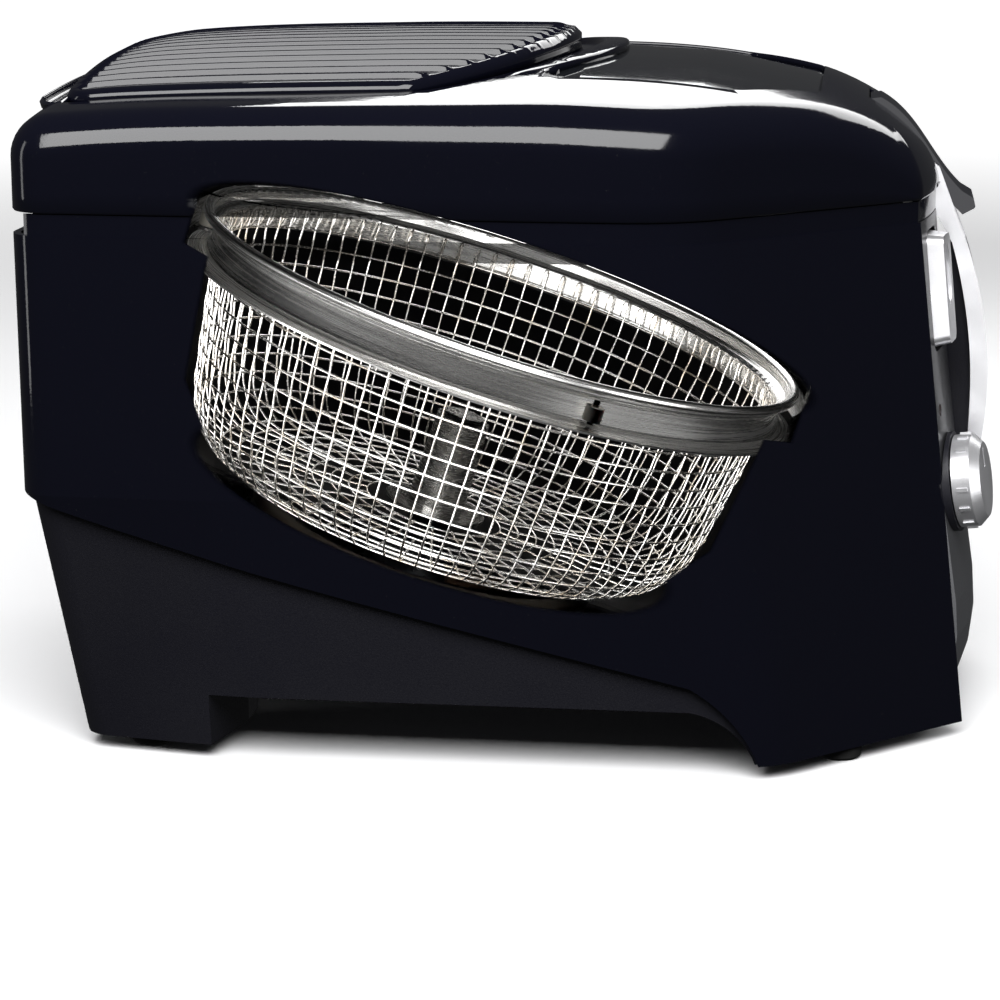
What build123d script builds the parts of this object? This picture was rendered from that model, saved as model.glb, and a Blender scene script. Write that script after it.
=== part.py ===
"""Deep fryer with a tilted basket that a motor turns through the oil.

Millimetres. +Z is up, the front faces -Y, and the origin is on the floor at the middle of the
footprint. The basket, its carrier and the bowl share one tilted axis, high at the rear and low
at the front, so their profiles are drawn as (radius, height along that axis).
"""

import math
import os

from build123d import *

os.makedirs("parts", exist_ok=True)

# ---- Driving dimensions -------------------------------------------------------------------
FOOT_HEIGHT = 6.0  # rubber feet lift the casing this far
SEAM_Z = 217.0  # top edge of the casing
FRAME_TOP = 225.5  # top of the rim frame
LID_Z = 226.0  # lower edge of the lid
LID_LIMIT = 300.0  # above every part of the lid
WALL = 3.0  # moulded casing wall
LID_WALL = 2.6
GAP = 0.4  # fitting gap between fixed mouldings

# Plan outline, left half: corner points, the radius at each inner corner, and the nose of the
# front arc. The casing is lofted from FOOT_PLAN over WAIST_PLAN up to TOP_PLAN.
CREASE_X = 70.0  # side wall and front panel meet at this half width
TOP_PLAN = {
    "z": SEAM_Z,
    "corners": [(0, 196), (-154, 196), (-155, 110), (-155, -68), (-CREASE_X, -163)],
    "radii": (16, 400, 60),
    "nose": -172,
}
WAIST_PLAN = {
    "z": 112,
    "corners": [(0, 195.5), (-153, 195.5), (-154, 110), (-151, -87), (-CREASE_X, -175)],
    "radii": (16, 400, 56),
    "nose": -183.5,
}
FOOT_PLAN = {
    "z": FOOT_HEIGHT,
    "corners": [(0, 180), (-134, 180), (-146, 110), (-146, -106), (-CREASE_X, -187)],
    "radii": (16, 300, 50),
    "nose": -195,
}

# Front panel: height and the forward reach of its centre line at that height.
PANEL_LINE = [(12, -184), (20, -188), (30, -191.2), (43, -192.6), (58, -191.6), (76, -188.8), (98, -185.4),
              (122, -182), (150, -178.4), (182, -174.6), (216.6, -171)]
PANEL_BULGE = 9.0  # how far the panel's middle stands forward of its sides
CHANNEL_HALF = 21.5  # recess that the folded handle lies in
CHANNEL_Z = 92.0
CHANNEL_DEPTH = 9.0

# Crown of the lid: how far back, and the heights of its middle and its sides there.
CROWN_LINE = [(215, 269, 259), (150, 273, 265), (80, 275.5, 267), (20, 280.5, 267), (-25, 284, 266.5),
              (-75, 281.5, 263), (-118, 273, 255), (-140, 264, 247), (-158, 251, 237), (-180, 226, 214)]
CROWN_HALF = 155.0
COLLAR = 10.0  # width of the shallow recess round the filter cover
RECESS = 3.0

# Sweep line between the gloss casing and the matt base, in (y, z).
SWEEP_LINE = [(212, 118), (120, 88), (0, 57), (-76, 39)]
SWEEP_TOE = (-104, FOOT_HEIGHT)
UNDERSIDE_Z = 28.0
TRAY_FLOOR = 3.0
TRAY_INSET = 2.4
LEG_INNER_X = 86.0
FEET = [(118, 150), (104, -136)]
FOOT_RADIUS = 9.0

# Tilted axis of the bowl, carrier and basket.
TILT = 18.0
AXIS_Y = 22.0
RING_Z = 155.0  # height of the axis at the underside of the basket rim

FLANGE_RADIUS = 139.0
BAND_RADIUS = 129.5
BEAD_RADIUS = 137.0
RIM_HEIGHT = 19.0
MESH_RADIUS = 127.6
MESH_FLOOR = -84.0
BOWL_RADIUS = 143.5  # inner
BOWL_WALL = 2.0
BOWL_FLOOR = -92.0
BOWL_FLANGE = 5.0
TOWER_RADIUS = 9.0
TOWER_TOP = -50.0
SPINDLE_RADIUS = 4.0
HEX_FLATS = 10.0
ROLLER_RADIUS = 4.0
ROLLER_GAP = 1.3  # from the band's nominal radius to a roller
ROLLER_ANGLES = {"rear": 90, "left": 205, "right": 335}

HINGE_Y = 191.0
HINGE_Z = 221.7
HINGE_PIN = 2.5
KNUCKLE = 4.3

HANDLE_PIVOT = (-166.0, 232.0)  # (y, z)
HANDLE_ARM_X = (16.6, 20.0)
NOTCH_HALF = 22.0  # notch in the lid's nose, round the handle bracket
NOTCH_Y = -141.0

KNOB_X = -50.0
KNOB_Z = 105.0
KNOB_RADIUS = 19.5
KNOB_TURN = 10.5  # the panel faces this far to the left where the knob is
KNOB_LEAN = 8.5

# ---- Frames and helpers -------------------------------------------------------------------
SIN, COS = math.sin(math.radians(TILT)), math.cos(math.radians(TILT))
AXIS_POINT = (0, AXIS_Y, RING_Z)
UP_AXIS = (0, -SIN, COS)
BASKET_AXIS = Axis(AXIS_POINT, UP_AXIS)
BASKET_PLANE = Plane(origin=AXIS_POINT, x_dir=(1, 0, 0), z_dir=UP_AXIS)
PROFILE_PLANE = Plane(origin=AXIS_POINT, x_dir=(1, 0, 0), z_dir=(0, -COS, -SIN))
FAR = 400.0  # longer than anything that a cutter has to pass


def save(piece, name):
    """Labels a finished piece and writes it as its own STEP file."""
    piece.part.label = name
    export_step(piece.part, f"parts/{name}.step")


def plan_face(plan, inset=0.0, z=None):
    """The body's outline as a sketch at height z, drawn in by inset."""
    with BuildSketch(Plane.XY.offset(plan["z"] if z is None else z)) as sketch:
        with BuildLine():
            FilletPolyline(*plan["corners"], radius=plan["radii"])
            mirror(about=Plane.YZ)
            x, y = plan["corners"][-1]
            ThreePointArc((x, y), (0, plan["nose"]), (-x, y))
        make_face()
        if inset:
            offset(amount=-inset, kind=Kind.INTERSECTION)
    return sketch.sketch


def envelope(inset=0.0):
    """The casing's outer shape, from the feet to the seam, drawn in by inset."""
    with BuildPart() as body:
        for plan in (FOOT_PLAN, WAIST_PLAN, TOP_PLAN):
            add(plan_face(plan, inset))
        loft(ruled=True)
    return body.part


def lid_block(inset=0.0, low=LID_Z, high=LID_LIMIT):
    """The lid's outline as an upright block."""
    with BuildPart() as block:
        add(plan_face(TOP_PLAN, inset, low))
        extrude(amount=high - low)
    return block.part


def crown(drop=0.0):
    """Everything below the lid's top surface, lowered by drop."""
    base = LID_Z - 80
    with BuildPart() as body:
        for y, middle, edge in CROWN_LINE:
            slope = 2 * (middle - edge) / CROWN_HALF
            half = CROWN_HALF + 15
            side = edge - 15 * slope - drop
            with BuildSketch(Plane(origin=(0, y, 0), x_dir=(1, 0, 0), z_dir=(0, -1, 0))):
                with BuildLine():
                    ThreePointArc((-half, side), (0, middle - drop), (half, side))
                    Polyline((half, side), (half, base), (-half, base), (-half, side))
                make_face()
        loft(ruled=True)
    return body.part


def panel_block(half, setback, back, low, high=SEAM_Z, bulge=PANEL_BULGE):
    """The front panel's shape as a block from its face, moved in by setback, to y = back."""
    with BuildPart() as body:
        for z, reach in PANEL_LINE:
            y = reach + setback
            side = y + bulge * (half / CREASE_X) ** 2
            with BuildSketch(Plane.XY.offset(z)):
                with BuildLine():
                    ThreePointArc((-half, side), (0, y), (half, side))
                    Polyline((half, side), (half, back), (-half, back), (-half, side))
                make_face()
        loft(ruled=True)
        with Locations((0, 0, (low + high) / 2)):
            Box(FAR, FAR, high - low, mode=Mode.INTERSECT)
    return body.part


def turned(points, closed=True):
    """A solid turned round the basket axis from (radius, height) points."""
    with BuildPart() as body:
        with BuildSketch(PROFILE_PLANE):
            with BuildLine():
                Polyline(*points, close=closed)
            make_face()
        revolve(axis=BASKET_AXIS)
    return body.part


def slab(low, high):
    """All the space between two heights."""
    with BuildPart() as body:
        with Locations((0, 0, (low + high) / 2)):
            Box(FAR * 2, FAR * 2, high - low)
    return body.part


def block(x, y, z):
    """A box from three (low, high) pairs."""
    with BuildPart() as body:
        with Locations(((x[0] + x[1]) / 2, (y[0] + y[1]) / 2, (z[0] + z[1]) / 2)):
            Box(x[1] - x[0], y[1] - y[0], z[1] - z[0])
    return body.part


def rod(radius, y, z, x_low, x_high):
    """A round bar along X."""
    with BuildPart() as body:
        with BuildSketch(Plane.YZ.offset(x_low)):
            with Locations((y, z)):
                Circle(radius)
        extrude(amount=x_high - x_low)
    return body.part


def side_profile(points, x_low, x_high):
    """A plate from (y, z) points, extruded along X."""
    with BuildPart() as body:
        with BuildSketch(Plane.YZ.offset(x_low)):
            with BuildLine():
                Polyline(*points, close=True)
            make_face()
        extrude(amount=x_high - x_low)
    return body.part


def below_sweep(lift=0.0, to_front=False):
    """The space below the sweep line, raised by lift, as a cutter right across the body.
    Either it turns down to the toe, or it goes on level to the front."""
    with BuildPart() as body:
        with BuildSketch(Plane.YZ):
            with BuildLine():
                line = [(y, z + lift) for y, z in SWEEP_LINE]
                Spline(*line)
                if not to_front:
                    toe = (SWEEP_TOE[0], SWEEP_TOE[1] + lift)
                    middle = (-93, 25 + lift)
                    ThreePointArc(line[-1], middle, toe)
                    end = (SWEEP_TOE[0], -FAR)
                    Line(toe, end)
                else:
                    end = (-FAR, -FAR)
                    Polyline(line[-1], (-FAR, line[-1][1]), end)
                Polyline(end, (line[0][0], -FAR), line[0])
            make_face()
        extrude(amount=FAR, both=True)
    return body.part


# ---- Casing -------------------------------------------------------------------------------
def outer_casing():
    with BuildPart() as casing:
        add(envelope())
        add(envelope(WALL), mode=Mode.SUBTRACT)
        add(below_sweep(), mode=Mode.SUBTRACT)
        add(block((-CREASE_X, CREASE_X), (-FAR, -100), (-FAR, FAR)), mode=Mode.SUBTRACT)
        # Opening for the power inlet in the rear wall.
        add(block((64.6, 115.4), (150, 250), (128.6, 163.4)), mode=Mode.SUBTRACT)
    return casing


def base_tray():
    floor_top = UNDERSIDE_Z + TRAY_FLOOR
    hollow = envelope(TRAY_INSET + 1.0 + WALL)
    with BuildPart() as tray:
        add(envelope(TRAY_INSET + 1.0))
        add(below_sweep(7, to_front=True), mode=Mode.INTERSECT)
        # Arch under each side, with its slanted rear face, and the open middle.
        with BuildSketch(Plane.YZ):
            with BuildLine():
                ThreePointArc((-76, UNDERSIDE_Z), (-93, 20), (SWEEP_TOE[0], 0))
                Polyline((SWEEP_TOE[0], 0), (112, 0), (112, UNDERSIDE_Z), (-76, UNDERSIDE_Z))
            make_face()
        extrude(amount=FAR, both=True, mode=Mode.SUBTRACT)
        with BuildSketch(Plane.XY):
            with BuildLine():
                Polyline((-170, 127), (-105, 112), (105, 112), (170, 127), (170, 90), (-170, 90), close=True)
            make_face()
        extrude(amount=UNDERSIDE_Z, mode=Mode.SUBTRACT)
        add(block((-LEG_INNER_X, LEG_INNER_X), (-FAR, FAR), (0, UNDERSIDE_Z)), mode=Mode.SUBTRACT)
    with BuildPart() as inside:
        add(hollow)
        add(slab(floor_top, FAR), mode=Mode.INTERSECT)
    with BuildPart() as shell:
        add(tray.part)
        add(inside.part, mode=Mode.SUBTRACT)
        add(block((-CREASE_X - 1, CREASE_X + 1), (-FAR, -148), (0, FAR)), mode=Mode.SUBTRACT)
        # Sockets for the feet and the drain pipe's way through the floor.
        with BuildSketch(Plane.XY.offset(FOOT_HEIGHT)):
            with Locations(*[(x * side, y) for x, y in FEET for side in (-1, 1)]):
                Circle(FOOT_RADIUS - 3 + 0.1)
        extrude(amount=4.1, mode=Mode.SUBTRACT)
        # Vent slots under the motor.
        with BuildSketch(Plane.XY.offset(UNDERSIDE_Z)):
            with Locations((0, 150)):
                with GridLocations(9, 0, 9, 1):
                    SlotOverall(34, 4, rotation=90)
        extrude(amount=TRAY_FLOOR, mode=Mode.SUBTRACT)
        # Screw holes that hold the tray to the bosses of the casing.
        with BuildSketch(Plane.XY.offset(UNDERSIDE_Z)):
            with Locations(*SCREWS):
                Circle(2.2)
        extrude(amount=TRAY_FLOOR, mode=Mode.SUBTRACT)
    return shell


SCREWS = [(-118, 82), (118, 82), (-118, -52), (118, -52)]


def base_screws():
    """Four pan-head screws up through the tray floor."""
    with BuildPart() as screws:
        with BuildSketch(Plane.XY.offset(UNDERSIDE_Z)):
            with Locations(*SCREWS):
                Circle(2.0)
        extrude(amount=9)
        with BuildSketch(Plane.XY.offset(UNDERSIDE_Z - 2.2)):
            with Locations(*SCREWS):
                Circle(4.0)
                Rectangle(4.4, 1.0, mode=Mode.SUBTRACT)
                Rectangle(1.0, 4.4, mode=Mode.SUBTRACT)
        extrude(amount=2.2)
    return screws


def rubber_feet():
    with BuildPart() as feet:
        for x, y in FEET:
            for side in (-1, 1):
                with BuildSketch():
                    with Locations((x * side, y)):
                        Circle(FOOT_RADIUS)
                extrude(amount=FOOT_HEIGHT)
                with BuildSketch(Plane.XY.offset(FOOT_HEIGHT)):
                    with Locations((x * side, y)):
                        Circle(FOOT_RADIUS - 3)
                extrude(amount=4)
        chamfer(feet.edges().group_by(Axis.Z)[0], length=1.2)
    return feet


def front_panel():
    with BuildPart() as panel:
        add(panel_block(CREASE_X - GAP, 0, -151, 12))
        add(panel_block(CREASE_X - GAP - WALL, WALL, -100, 15, FAR), mode=Mode.SUBTRACT)
        # Window for the handle channel, and for the drain door below it.
        add(block((-CHANNEL_HALF, CHANNEL_HALF), (-FAR, 0), (CHANNEL_Z, FAR)), mode=Mode.SUBTRACT)
        add(block(DRAIN[0], (-FAR, -150), DRAIN[1]), mode=Mode.SUBTRACT)
        # Ears for the ends of the door's pin.
        for low in (DRAIN[0][0] - 3.5, DRAIN[0][1] + 0.4):
            add(block((low, low + 3.1), (-188.5, -183.5), (20, 27.5)))
        add(rod(1.5, *DOOR_AXIS, 0, CREASE_X - 4), mode=Mode.SUBTRACT)
        # Hole for the thermostat shaft, and the pocket of the release button.
        with BuildSketch(KNOB_PLANE.offset(-12)):
            Circle(6.0)
        extrude(amount=30, mode=Mode.SUBTRACT)
        with BuildSketch(BUTTON_PLANE.offset(-16)):
            RectangleRounded(BUTTON[0] + 1.0, BUTTON[1] + 1.0, 5)
        extrude(amount=30, mode=Mode.SUBTRACT)
        with BuildSketch(LAMP_PLANE.offset(-8)):
            Circle(2.6)
        extrude(amount=20, mode=Mode.SUBTRACT)
    return panel


def handle_channel():
    """Black tray behind the folded handle."""
    half = CHANNEL_HALF - 0.3
    with BuildPart() as cheeks:
        add(panel_block(half, 1.0, -150, CHANNEL_Z + 0.3, 216.4))
        add(block((-half + 0.7, half - 0.7), (-FAR, FAR), (CHANNEL_Z + 2.3, FAR)), mode=Mode.SUBTRACT)
    with BuildPart() as channel:
        add(panel_block(half, CHANNEL_DEPTH, -150, CHANNEL_Z + 0.3, 216.4))
        add(cheeks.part)
        add(panel_block(half - 2, CHANNEL_DEPTH + 2, -100, CHANNEL_Z + 2.3, FAR), mode=Mode.SUBTRACT)
    return channel


DRAIN = ((6.0, 62.0), (19.0, 72.0))  # door opening, x and z


DOOR_AXIS = (-187.3, 23.6)


def drain_door():
    """Flap in the front panel that hides the drain pipe. It turns on a barrel at its foot."""
    (x0, x1), (_, z1) = DRAIN
    y, z = DOOR_AXIS
    with BuildPart() as door:
        add(panel_block(CREASE_X - GAP, 0.2, -151, 12))
        add(panel_block(CREASE_X, 2.8, -100, 12), mode=Mode.SUBTRACT)
        add(block((x0 + 0.8, x1 - 0.8), (-FAR, -150), (z, z1 - 0.8)), mode=Mode.INTERSECT)
        add(rod(3.2, y, z, x0 + 0.8, x1 - 0.8))
        # Finger notch in the upper edge.
        with BuildSketch(Plane.XZ.offset(170)):
            with Locations(((x0 + x1) / 2, z1)):
                SlotOverall(20, 9)
        extrude(amount=40, mode=Mode.SUBTRACT)
        add(rod(1.56, y, z, x0, x1), mode=Mode.SUBTRACT)
    return door


def drain_door_pin():
    with BuildPart() as pin:
        add(rod(1.5, *DOOR_AXIS, DRAIN[0][0] - 3.5, DRAIN[0][1] + 3.5))
    return pin


def drain_pipe():
    """Pipe from the lowest point of the bowl to a capped spout behind the drain door."""
    with BuildPart() as pipe:
        with BuildLine() as path:
            FilletPolyline((34, -66, 42), (34, -96, 42), (34, -130, 48), (34, -166, 48), radius=26)
        with BuildSketch(Plane(origin=(34, -66, 42), z_dir=(0, -1, 0))):
            Circle(6.5)
            Circle(4.5, mode=Mode.SUBTRACT)
        sweep(path=path.line)
        add(turned(BOWL_OUTER), mode=Mode.SUBTRACT)
    return pipe


def drain_cap():
    with BuildPart() as cap:
        with BuildSketch(Plane(origin=(34, -158, 48), z_dir=(0, -1, 0))):
            Circle(9.5)
        extrude(amount=14)
        with BuildSketch(Plane(origin=(34, -158, 48), z_dir=(0, -1, 0))):
            Circle(6.5)
        extrude(amount=8, mode=Mode.SUBTRACT)
        with BuildSketch(Plane(origin=(34, -172, 48), z_dir=(0, -1, 0))):
            Circle(9.5)
            with PolarLocations(9.5, 12):
                Circle(1.4, mode=Mode.SUBTRACT)
        extrude(amount=3)
    return cap


# ---- Rim frame and bowl -------------------------------------------------------------------
def rim_frame():
    """Deck between the casing and the lid, with a spigot inside the casing's top edge."""
    with BuildPart() as spigot:
        add(lid_block(WALL + 1.6, SEAM_Z - 8, SEAM_Z))
        add(lid_block(WALL + 4.2, SEAM_Z - 8, SEAM_Z), mode=Mode.SUBTRACT)
        add(block((-CREASE_X, CREASE_X), (-FAR, -100), (0, FAR)), mode=Mode.SUBTRACT)
    with BuildPart() as frame:
        add(lid_block(1.2, SEAM_Z, FRAME_TOP))
        add(spigot.part)
        add(turned([(0, -20), (BOWL_RADIUS + BOWL_WALL + 0.7, -20), (BOWL_RADIUS + BOWL_WALL + 0.7, 180), (0, 180)]),
            mode=Mode.SUBTRACT)
        # Way out for the handle bracket, and the button's latch.
        add(block((-NOTCH_HALF, NOTCH_HALF), (-FAR, -130), (SEAM_Z - 20, FAR)), mode=Mode.SUBTRACT)
        add(block((-LATCH_X - 5, -LATCH_X + 5), (-165.2, -154), (SEAM_Z - 20, FAR)), mode=Mode.SUBTRACT)
        # Hinge: clear a round channel, then put back this side's knuckles.
        add(rod(7.0, HINGE_Y, HINGE_Z, -150, 150), mode=Mode.SUBTRACT)
        for low in (29, 76):
            for side in (-1, 1):
                span = sorted((side * low, side * (low + 15)))
                add(rod(KNUCKLE, HINGE_Y, HINGE_Z, *span))
                add(block(span, (HINGE_Y - 8, HINGE_Y), (SEAM_Z, HINGE_Z)))
        add(rod(HINGE_PIN, HINGE_Y, HINGE_Z, -150, 150), mode=Mode.SUBTRACT)
    return frame


def hinge_pins():
    with BuildPart() as pins:
        for side in (-1, 1):
            add(rod(HINGE_PIN, HINGE_Y, HINGE_Z, *sorted((side * 27, side * 93))))
    return pins


BOWL_INNER = [(0, BOWL_FLOOR), (100, BOWL_FLOOR), (118, -87), (130, -76), (134.5, -58), (BOWL_RADIUS, -10),
              (BOWL_RADIUS, 200), (0, 200)]
BOWL_OUTER = [(0, BOWL_FLOOR - BOWL_WALL), (100.5, BOWL_FLOOR - BOWL_WALL), (119.2, -88.8), (131.7, -77.2),
              (136.5, -58.4), (BOWL_RADIUS + BOWL_WALL, -10.2), (BOWL_RADIUS + BOWL_WALL, 190), (0, 190)]


def bowl():
    """Removable pot with a flange, a tower for the spindle and a drain outlet."""
    flange = [(BOWL_RADIUS, 0), (BOWL_RADIUS + BOWL_FLANGE, 0), (BOWL_RADIUS + BOWL_FLANGE, 190), (BOWL_RADIUS, 190)]
    with BuildPart() as lip:
        add(turned(flange))
        add(slab(FRAME_TOP, FRAME_TOP + 1.5), mode=Mode.INTERSECT)
    with BuildPart() as pot:
        add(turned(BOWL_OUTER))
        add(turned(BOWL_INNER), mode=Mode.SUBTRACT)
        add(slab(FRAME_TOP + 1.5, FAR), mode=Mode.SUBTRACT)
        add(lip.part)
        add(turned([(0, BOWL_FLOOR - 1), (TOWER_RADIUS, BOWL_FLOOR - 1), (TOWER_RADIUS - 1, TOWER_TOP), (0, TOWER_TOP)]))
        add(turned([(0, -110), (SPINDLE_RADIUS + 0.6, -110), (SPINDLE_RADIUS + 0.6, 0), (0, 0)]), mode=Mode.SUBTRACT)
        # Drain outlet low at the front.
        with BuildSketch(Plane(origin=(34, -50, 42), z_dir=(0, -1, 0))):
            Circle(4.5)
        extrude(amount=60, mode=Mode.SUBTRACT)
    return pot


def heating_element():
    """Tubular heater in an open ring under the bowl floor."""
    with BuildPart() as heater:
        with BuildLine(BASKET_PLANE.offset(BOWL_FLOOR - BOWL_WALL - 4.4)) as path:
            CenterArc((0, 0), 76, 100, 340)
        with BuildSketch(Plane(origin=path.line @ 0, z_dir=path.line % 0)):
            Circle(4.0)
        sweep(path=path.line)
    return heater


def element_terminals():
    """Two ceramic ended cold legs of the heater."""
    with BuildPart() as legs:
        for angle in (100, 80):
            spot = (76 * math.cos(math.radians(angle)), 76 * math.sin(math.radians(angle)))
            with BuildSketch(BASKET_PLANE.offset(BOWL_FLOOR - BOWL_WALL - 9)):
                with Locations(spot):
                    Circle(3.6)
            extrude(amount=-14)
    return legs


def heat_shield():
    """Pressed reflector tray between the heater and the base."""
    depth = BOWL_FLOOR - BOWL_WALL - 10.5
    with BuildPart() as shield:
        with BuildSketch(BASKET_PLANE.offset(depth)):
            Circle(92)
            Circle(42, mode=Mode.SUBTRACT)
            for angle in (100, 80):
                with PolarLocations(76, 1, angle):
                    Circle(5.5, mode=Mode.SUBTRACT)
        extrude(amount=0.8)
        add(block((-FAR, FAR), (-FAR, FAR), (-FAR, UNDERSIDE_Z + TRAY_FLOOR + 1)), mode=Mode.SUBTRACT)
    return shield


def spindle_motor():
    """Flat geared motor under the bowl, square to the tilted axis."""
    top = BOWL_FLOOR - BOWL_WALL - 1.0
    with BuildPart() as motor:
        with BuildSketch(BASKET_PLANE.offset(top)):
            Circle(24)
            Circle(SPINDLE_RADIUS + 0.3, mode=Mode.SUBTRACT)
        extrude(amount=-18)
        with BuildSketch(BASKET_PLANE.offset(top - 2)):
            with Locations((-30, 0), (30, 0)):
                RectangleRounded(20, 12, 3)
            with Locations((-35, 0), (35, 0)):
                Circle(2.2, mode=Mode.SUBTRACT)
        extrude(amount=-1.5)
    return motor


def motor_screws():
    top = BOWL_FLOOR - BOWL_WALL - 1.0
    with BuildPart() as screws:
        with BuildSketch(BASKET_PLANE.offset(top)):
            with Locations((-35, 0), (35, 0)):
                Circle(2.0)
        extrude(amount=-9)
        with BuildSketch(BASKET_PLANE.offset(top - 3.5)):
            with Locations((-35, 0), (35, 0)):
                Circle(3.6)
        extrude(amount=-2)
    return screws


def drive_spindle():
    """Motor shaft up the bowl's tower, with a hexagon that carries the basket."""
    with BuildPart() as spindle:
        with BuildSketch(BASKET_PLANE.offset(BOWL_FLOOR - 16)):
            Circle(SPINDLE_RADIUS)
        extrude(amount=TOWER_TOP - BOWL_FLOOR + 17)
        with BuildSketch(BASKET_PLANE.offset(TOWER_TOP + 0.6)):
            RegularPolygon(HEX_FLATS / 2, 6, major_radius=False)
        extrude(amount=8.4)
        chamfer(spindle.faces().sort_by(lambda f: f.center().Z)[-1].edges(), length=1)
    return spindle


# ---- Controls -----------------------------------------------------------------------------
def facing(turn, lean):
    """Direction that a control on the front panel faces."""
    t, l = math.radians(turn), math.radians(lean)
    return (-math.sin(t) * math.cos(l), -math.cos(t) * math.cos(l), math.sin(l))


KNOB_PLANE = Plane(origin=(KNOB_X, -179.6, KNOB_Z), x_dir=(1, -math.tan(math.radians(KNOB_TURN)), 0),
                   z_dir=facing(KNOB_TURN, KNOB_LEAN))
BUTTON = (23.0, 50.0)  # width and height of the lid release
BUTTON_SPRING = 5.6  # length with the button pressed right in
BUTTON_PLANE = Plane(origin=(-45, -167.6, 186), x_dir=(1, -math.tan(math.radians(10)), 0), z_dir=facing(10, 6))
LAMP_PLANE = Plane(origin=(-58, -172.0, 137), x_dir=(1, -math.tan(math.radians(12)), 0), z_dir=facing(12, 6))
LATCH_X = 45.0


def knob_bezel():
    with BuildPart() as bezel:
        with BuildSketch(KNOB_PLANE.offset(-1.2)):
            Circle(KNOB_RADIUS + 1.5)
            Circle(6.0, mode=Mode.SUBTRACT)
        extrude(amount=4.0)
        add(panel_block(CREASE_X + 20, -0.05, -100, 12), mode=Mode.SUBTRACT)
        add(envelope(), mode=Mode.SUBTRACT)
    return bezel


def thermostat_knob():
    with BuildPart() as knob:
        with BuildSketch(KNOB_PLANE.offset(3.4)):
            Circle(KNOB_RADIUS)
        extrude(amount=11.4)
        chamfer(knob.faces().sort_by(lambda f: f.center().dot(KNOB_PLANE.z_dir))[-1].edges(), length=3.8)
        with BuildSketch(KNOB_PLANE.offset(5.4)):
            with PolarLocations(KNOB_RADIUS, 14):
                Rectangle(1.6, 1.5)
        extrude(amount=4.5)
        with BuildSketch(KNOB_PLANE.offset(3.4)):
            Circle(3.06)
        extrude(amount=8.2, mode=Mode.SUBTRACT)
        # Pointer groove across the face.
        with BuildSketch(KNOB_PLANE.offset(13.6)):
            with Locations((0, 9.5)):
                SlotOverall(9, 1.8, rotation=90)
        extrude(amount=2, mode=Mode.SUBTRACT)
    return knob


def thermostat():
    """Switch body behind the panel with its shaft through it."""
    with BuildPart() as body:
        with BuildSketch(KNOB_PLANE.offset(-12)):
            RectangleRounded(27, 28, 4)
        extrude(amount=-20)
        with BuildSketch(KNOB_PLANE.offset(-12)):
            Circle(5.6)
        extrude(amount=9)
        with BuildSketch(KNOB_PLANE.offset(-3)):
            Circle(3.0)
        extrude(amount=14)
    return body


def thermostat_probe():
    """Sensor bulb clipped to the bowl with its capillary loop."""
    with BuildPart() as probe:
        with BuildLine(BASKET_PLANE.offset(BOWL_FLOOR - BOWL_WALL - 3.6)) as path:
            CenterArc((0, 0), 52, 200, 60)
        with BuildSketch(Plane(origin=path.line @ 0, z_dir=path.line % 0)):
            Circle(3.0)
        sweep(path=path.line)
    return probe


def thermal_fuse():
    with BuildPart() as fuse:
        with BuildSketch(BASKET_PLANE.offset(BOWL_FLOOR - BOWL_WALL - 0.6)):
            with Locations((48, 16)):
                Circle(8)
        extrude(amount=-7)
    return fuse


def indicator_lamp():
    with BuildPart() as lamp:
        with BuildSketch(LAMP_PLANE.offset(-8)):
            Circle(2.5)
        extrude(amount=8.8)
        with BuildSketch(LAMP_PLANE.offset(-14)):
            Circle(4.5)
        extrude(amount=6)
    return lamp


def release_button():
    """Sprung button that frees the lid: a stepped block with a finger dimple."""
    with BuildPart() as button:
        with BuildSketch(BUTTON_PLANE.offset(-6)):
            RectangleRounded(BUTTON[0], BUTTON[1], 4.5)
        with BuildSketch(BUTTON_PLANE.offset(9)):
            RectangleRounded(BUTTON[0] - 5, BUTTON[1] - 5, 4)
        loft()
        with BuildSketch(BUTTON_PLANE.offset(7.8)):
            with Locations((0, 6)):
                Ellipse(5.5, 13)
        extrude(amount=4, mode=Mode.SUBTRACT)
    return button


def button_spring():
    """Coil spring behind the release button, as a plain sleeve of its pressed length."""
    with BuildPart() as spring:
        with BuildSketch(BUTTON_PLANE.offset(-16)):
            Circle(4.5)
            Circle(3.2, mode=Mode.SUBTRACT)
        extrude(amount=BUTTON_SPRING)
    return spring


def button_guide():
    """Bracket behind the panel that holds the button and its spring."""
    with BuildPart() as guide:
        with BuildSketch(BUTTON_PLANE.offset(-18.2)):
            RectangleRounded(BUTTON[0] + 6, BUTTON[1] - 8, 4)
        extrude(amount=2)
        with BuildSketch(BUTTON_PLANE.offset(-16.2)):
            Circle(3.0)
        extrude(amount=3)
    return guide


def power_inlet():
    """Recessed inlet for a magnetic breakaway lead, in the rear wall."""
    with BuildPart() as inlet:
        add(block((65, 115), (176, 196.4), (129, 163)))
        add(block((69, 111), (183, 210), (133, 159)), mode=Mode.SUBTRACT)
        with BuildSketch(Plane(origin=(90, 178, 146), x_dir=(1, 0, 0), z_dir=(0, 1, 0))):
            with GridLocations(11, 0, 2, 1):
                Circle(2)
        extrude(amount=7)
    return inlet


def terminal_block():
    with BuildPart() as terminals:
        add(block((62, 112), (118, 136), (31.2, 47)))
        with BuildSketch(Plane.XY.offset(47)):
            with Locations((87, 127)):
                with GridLocations(14, 0, 3, 1):
                    Circle(3)
        extrude(amount=-5, mode=Mode.SUBTRACT)
    return terminals


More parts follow.
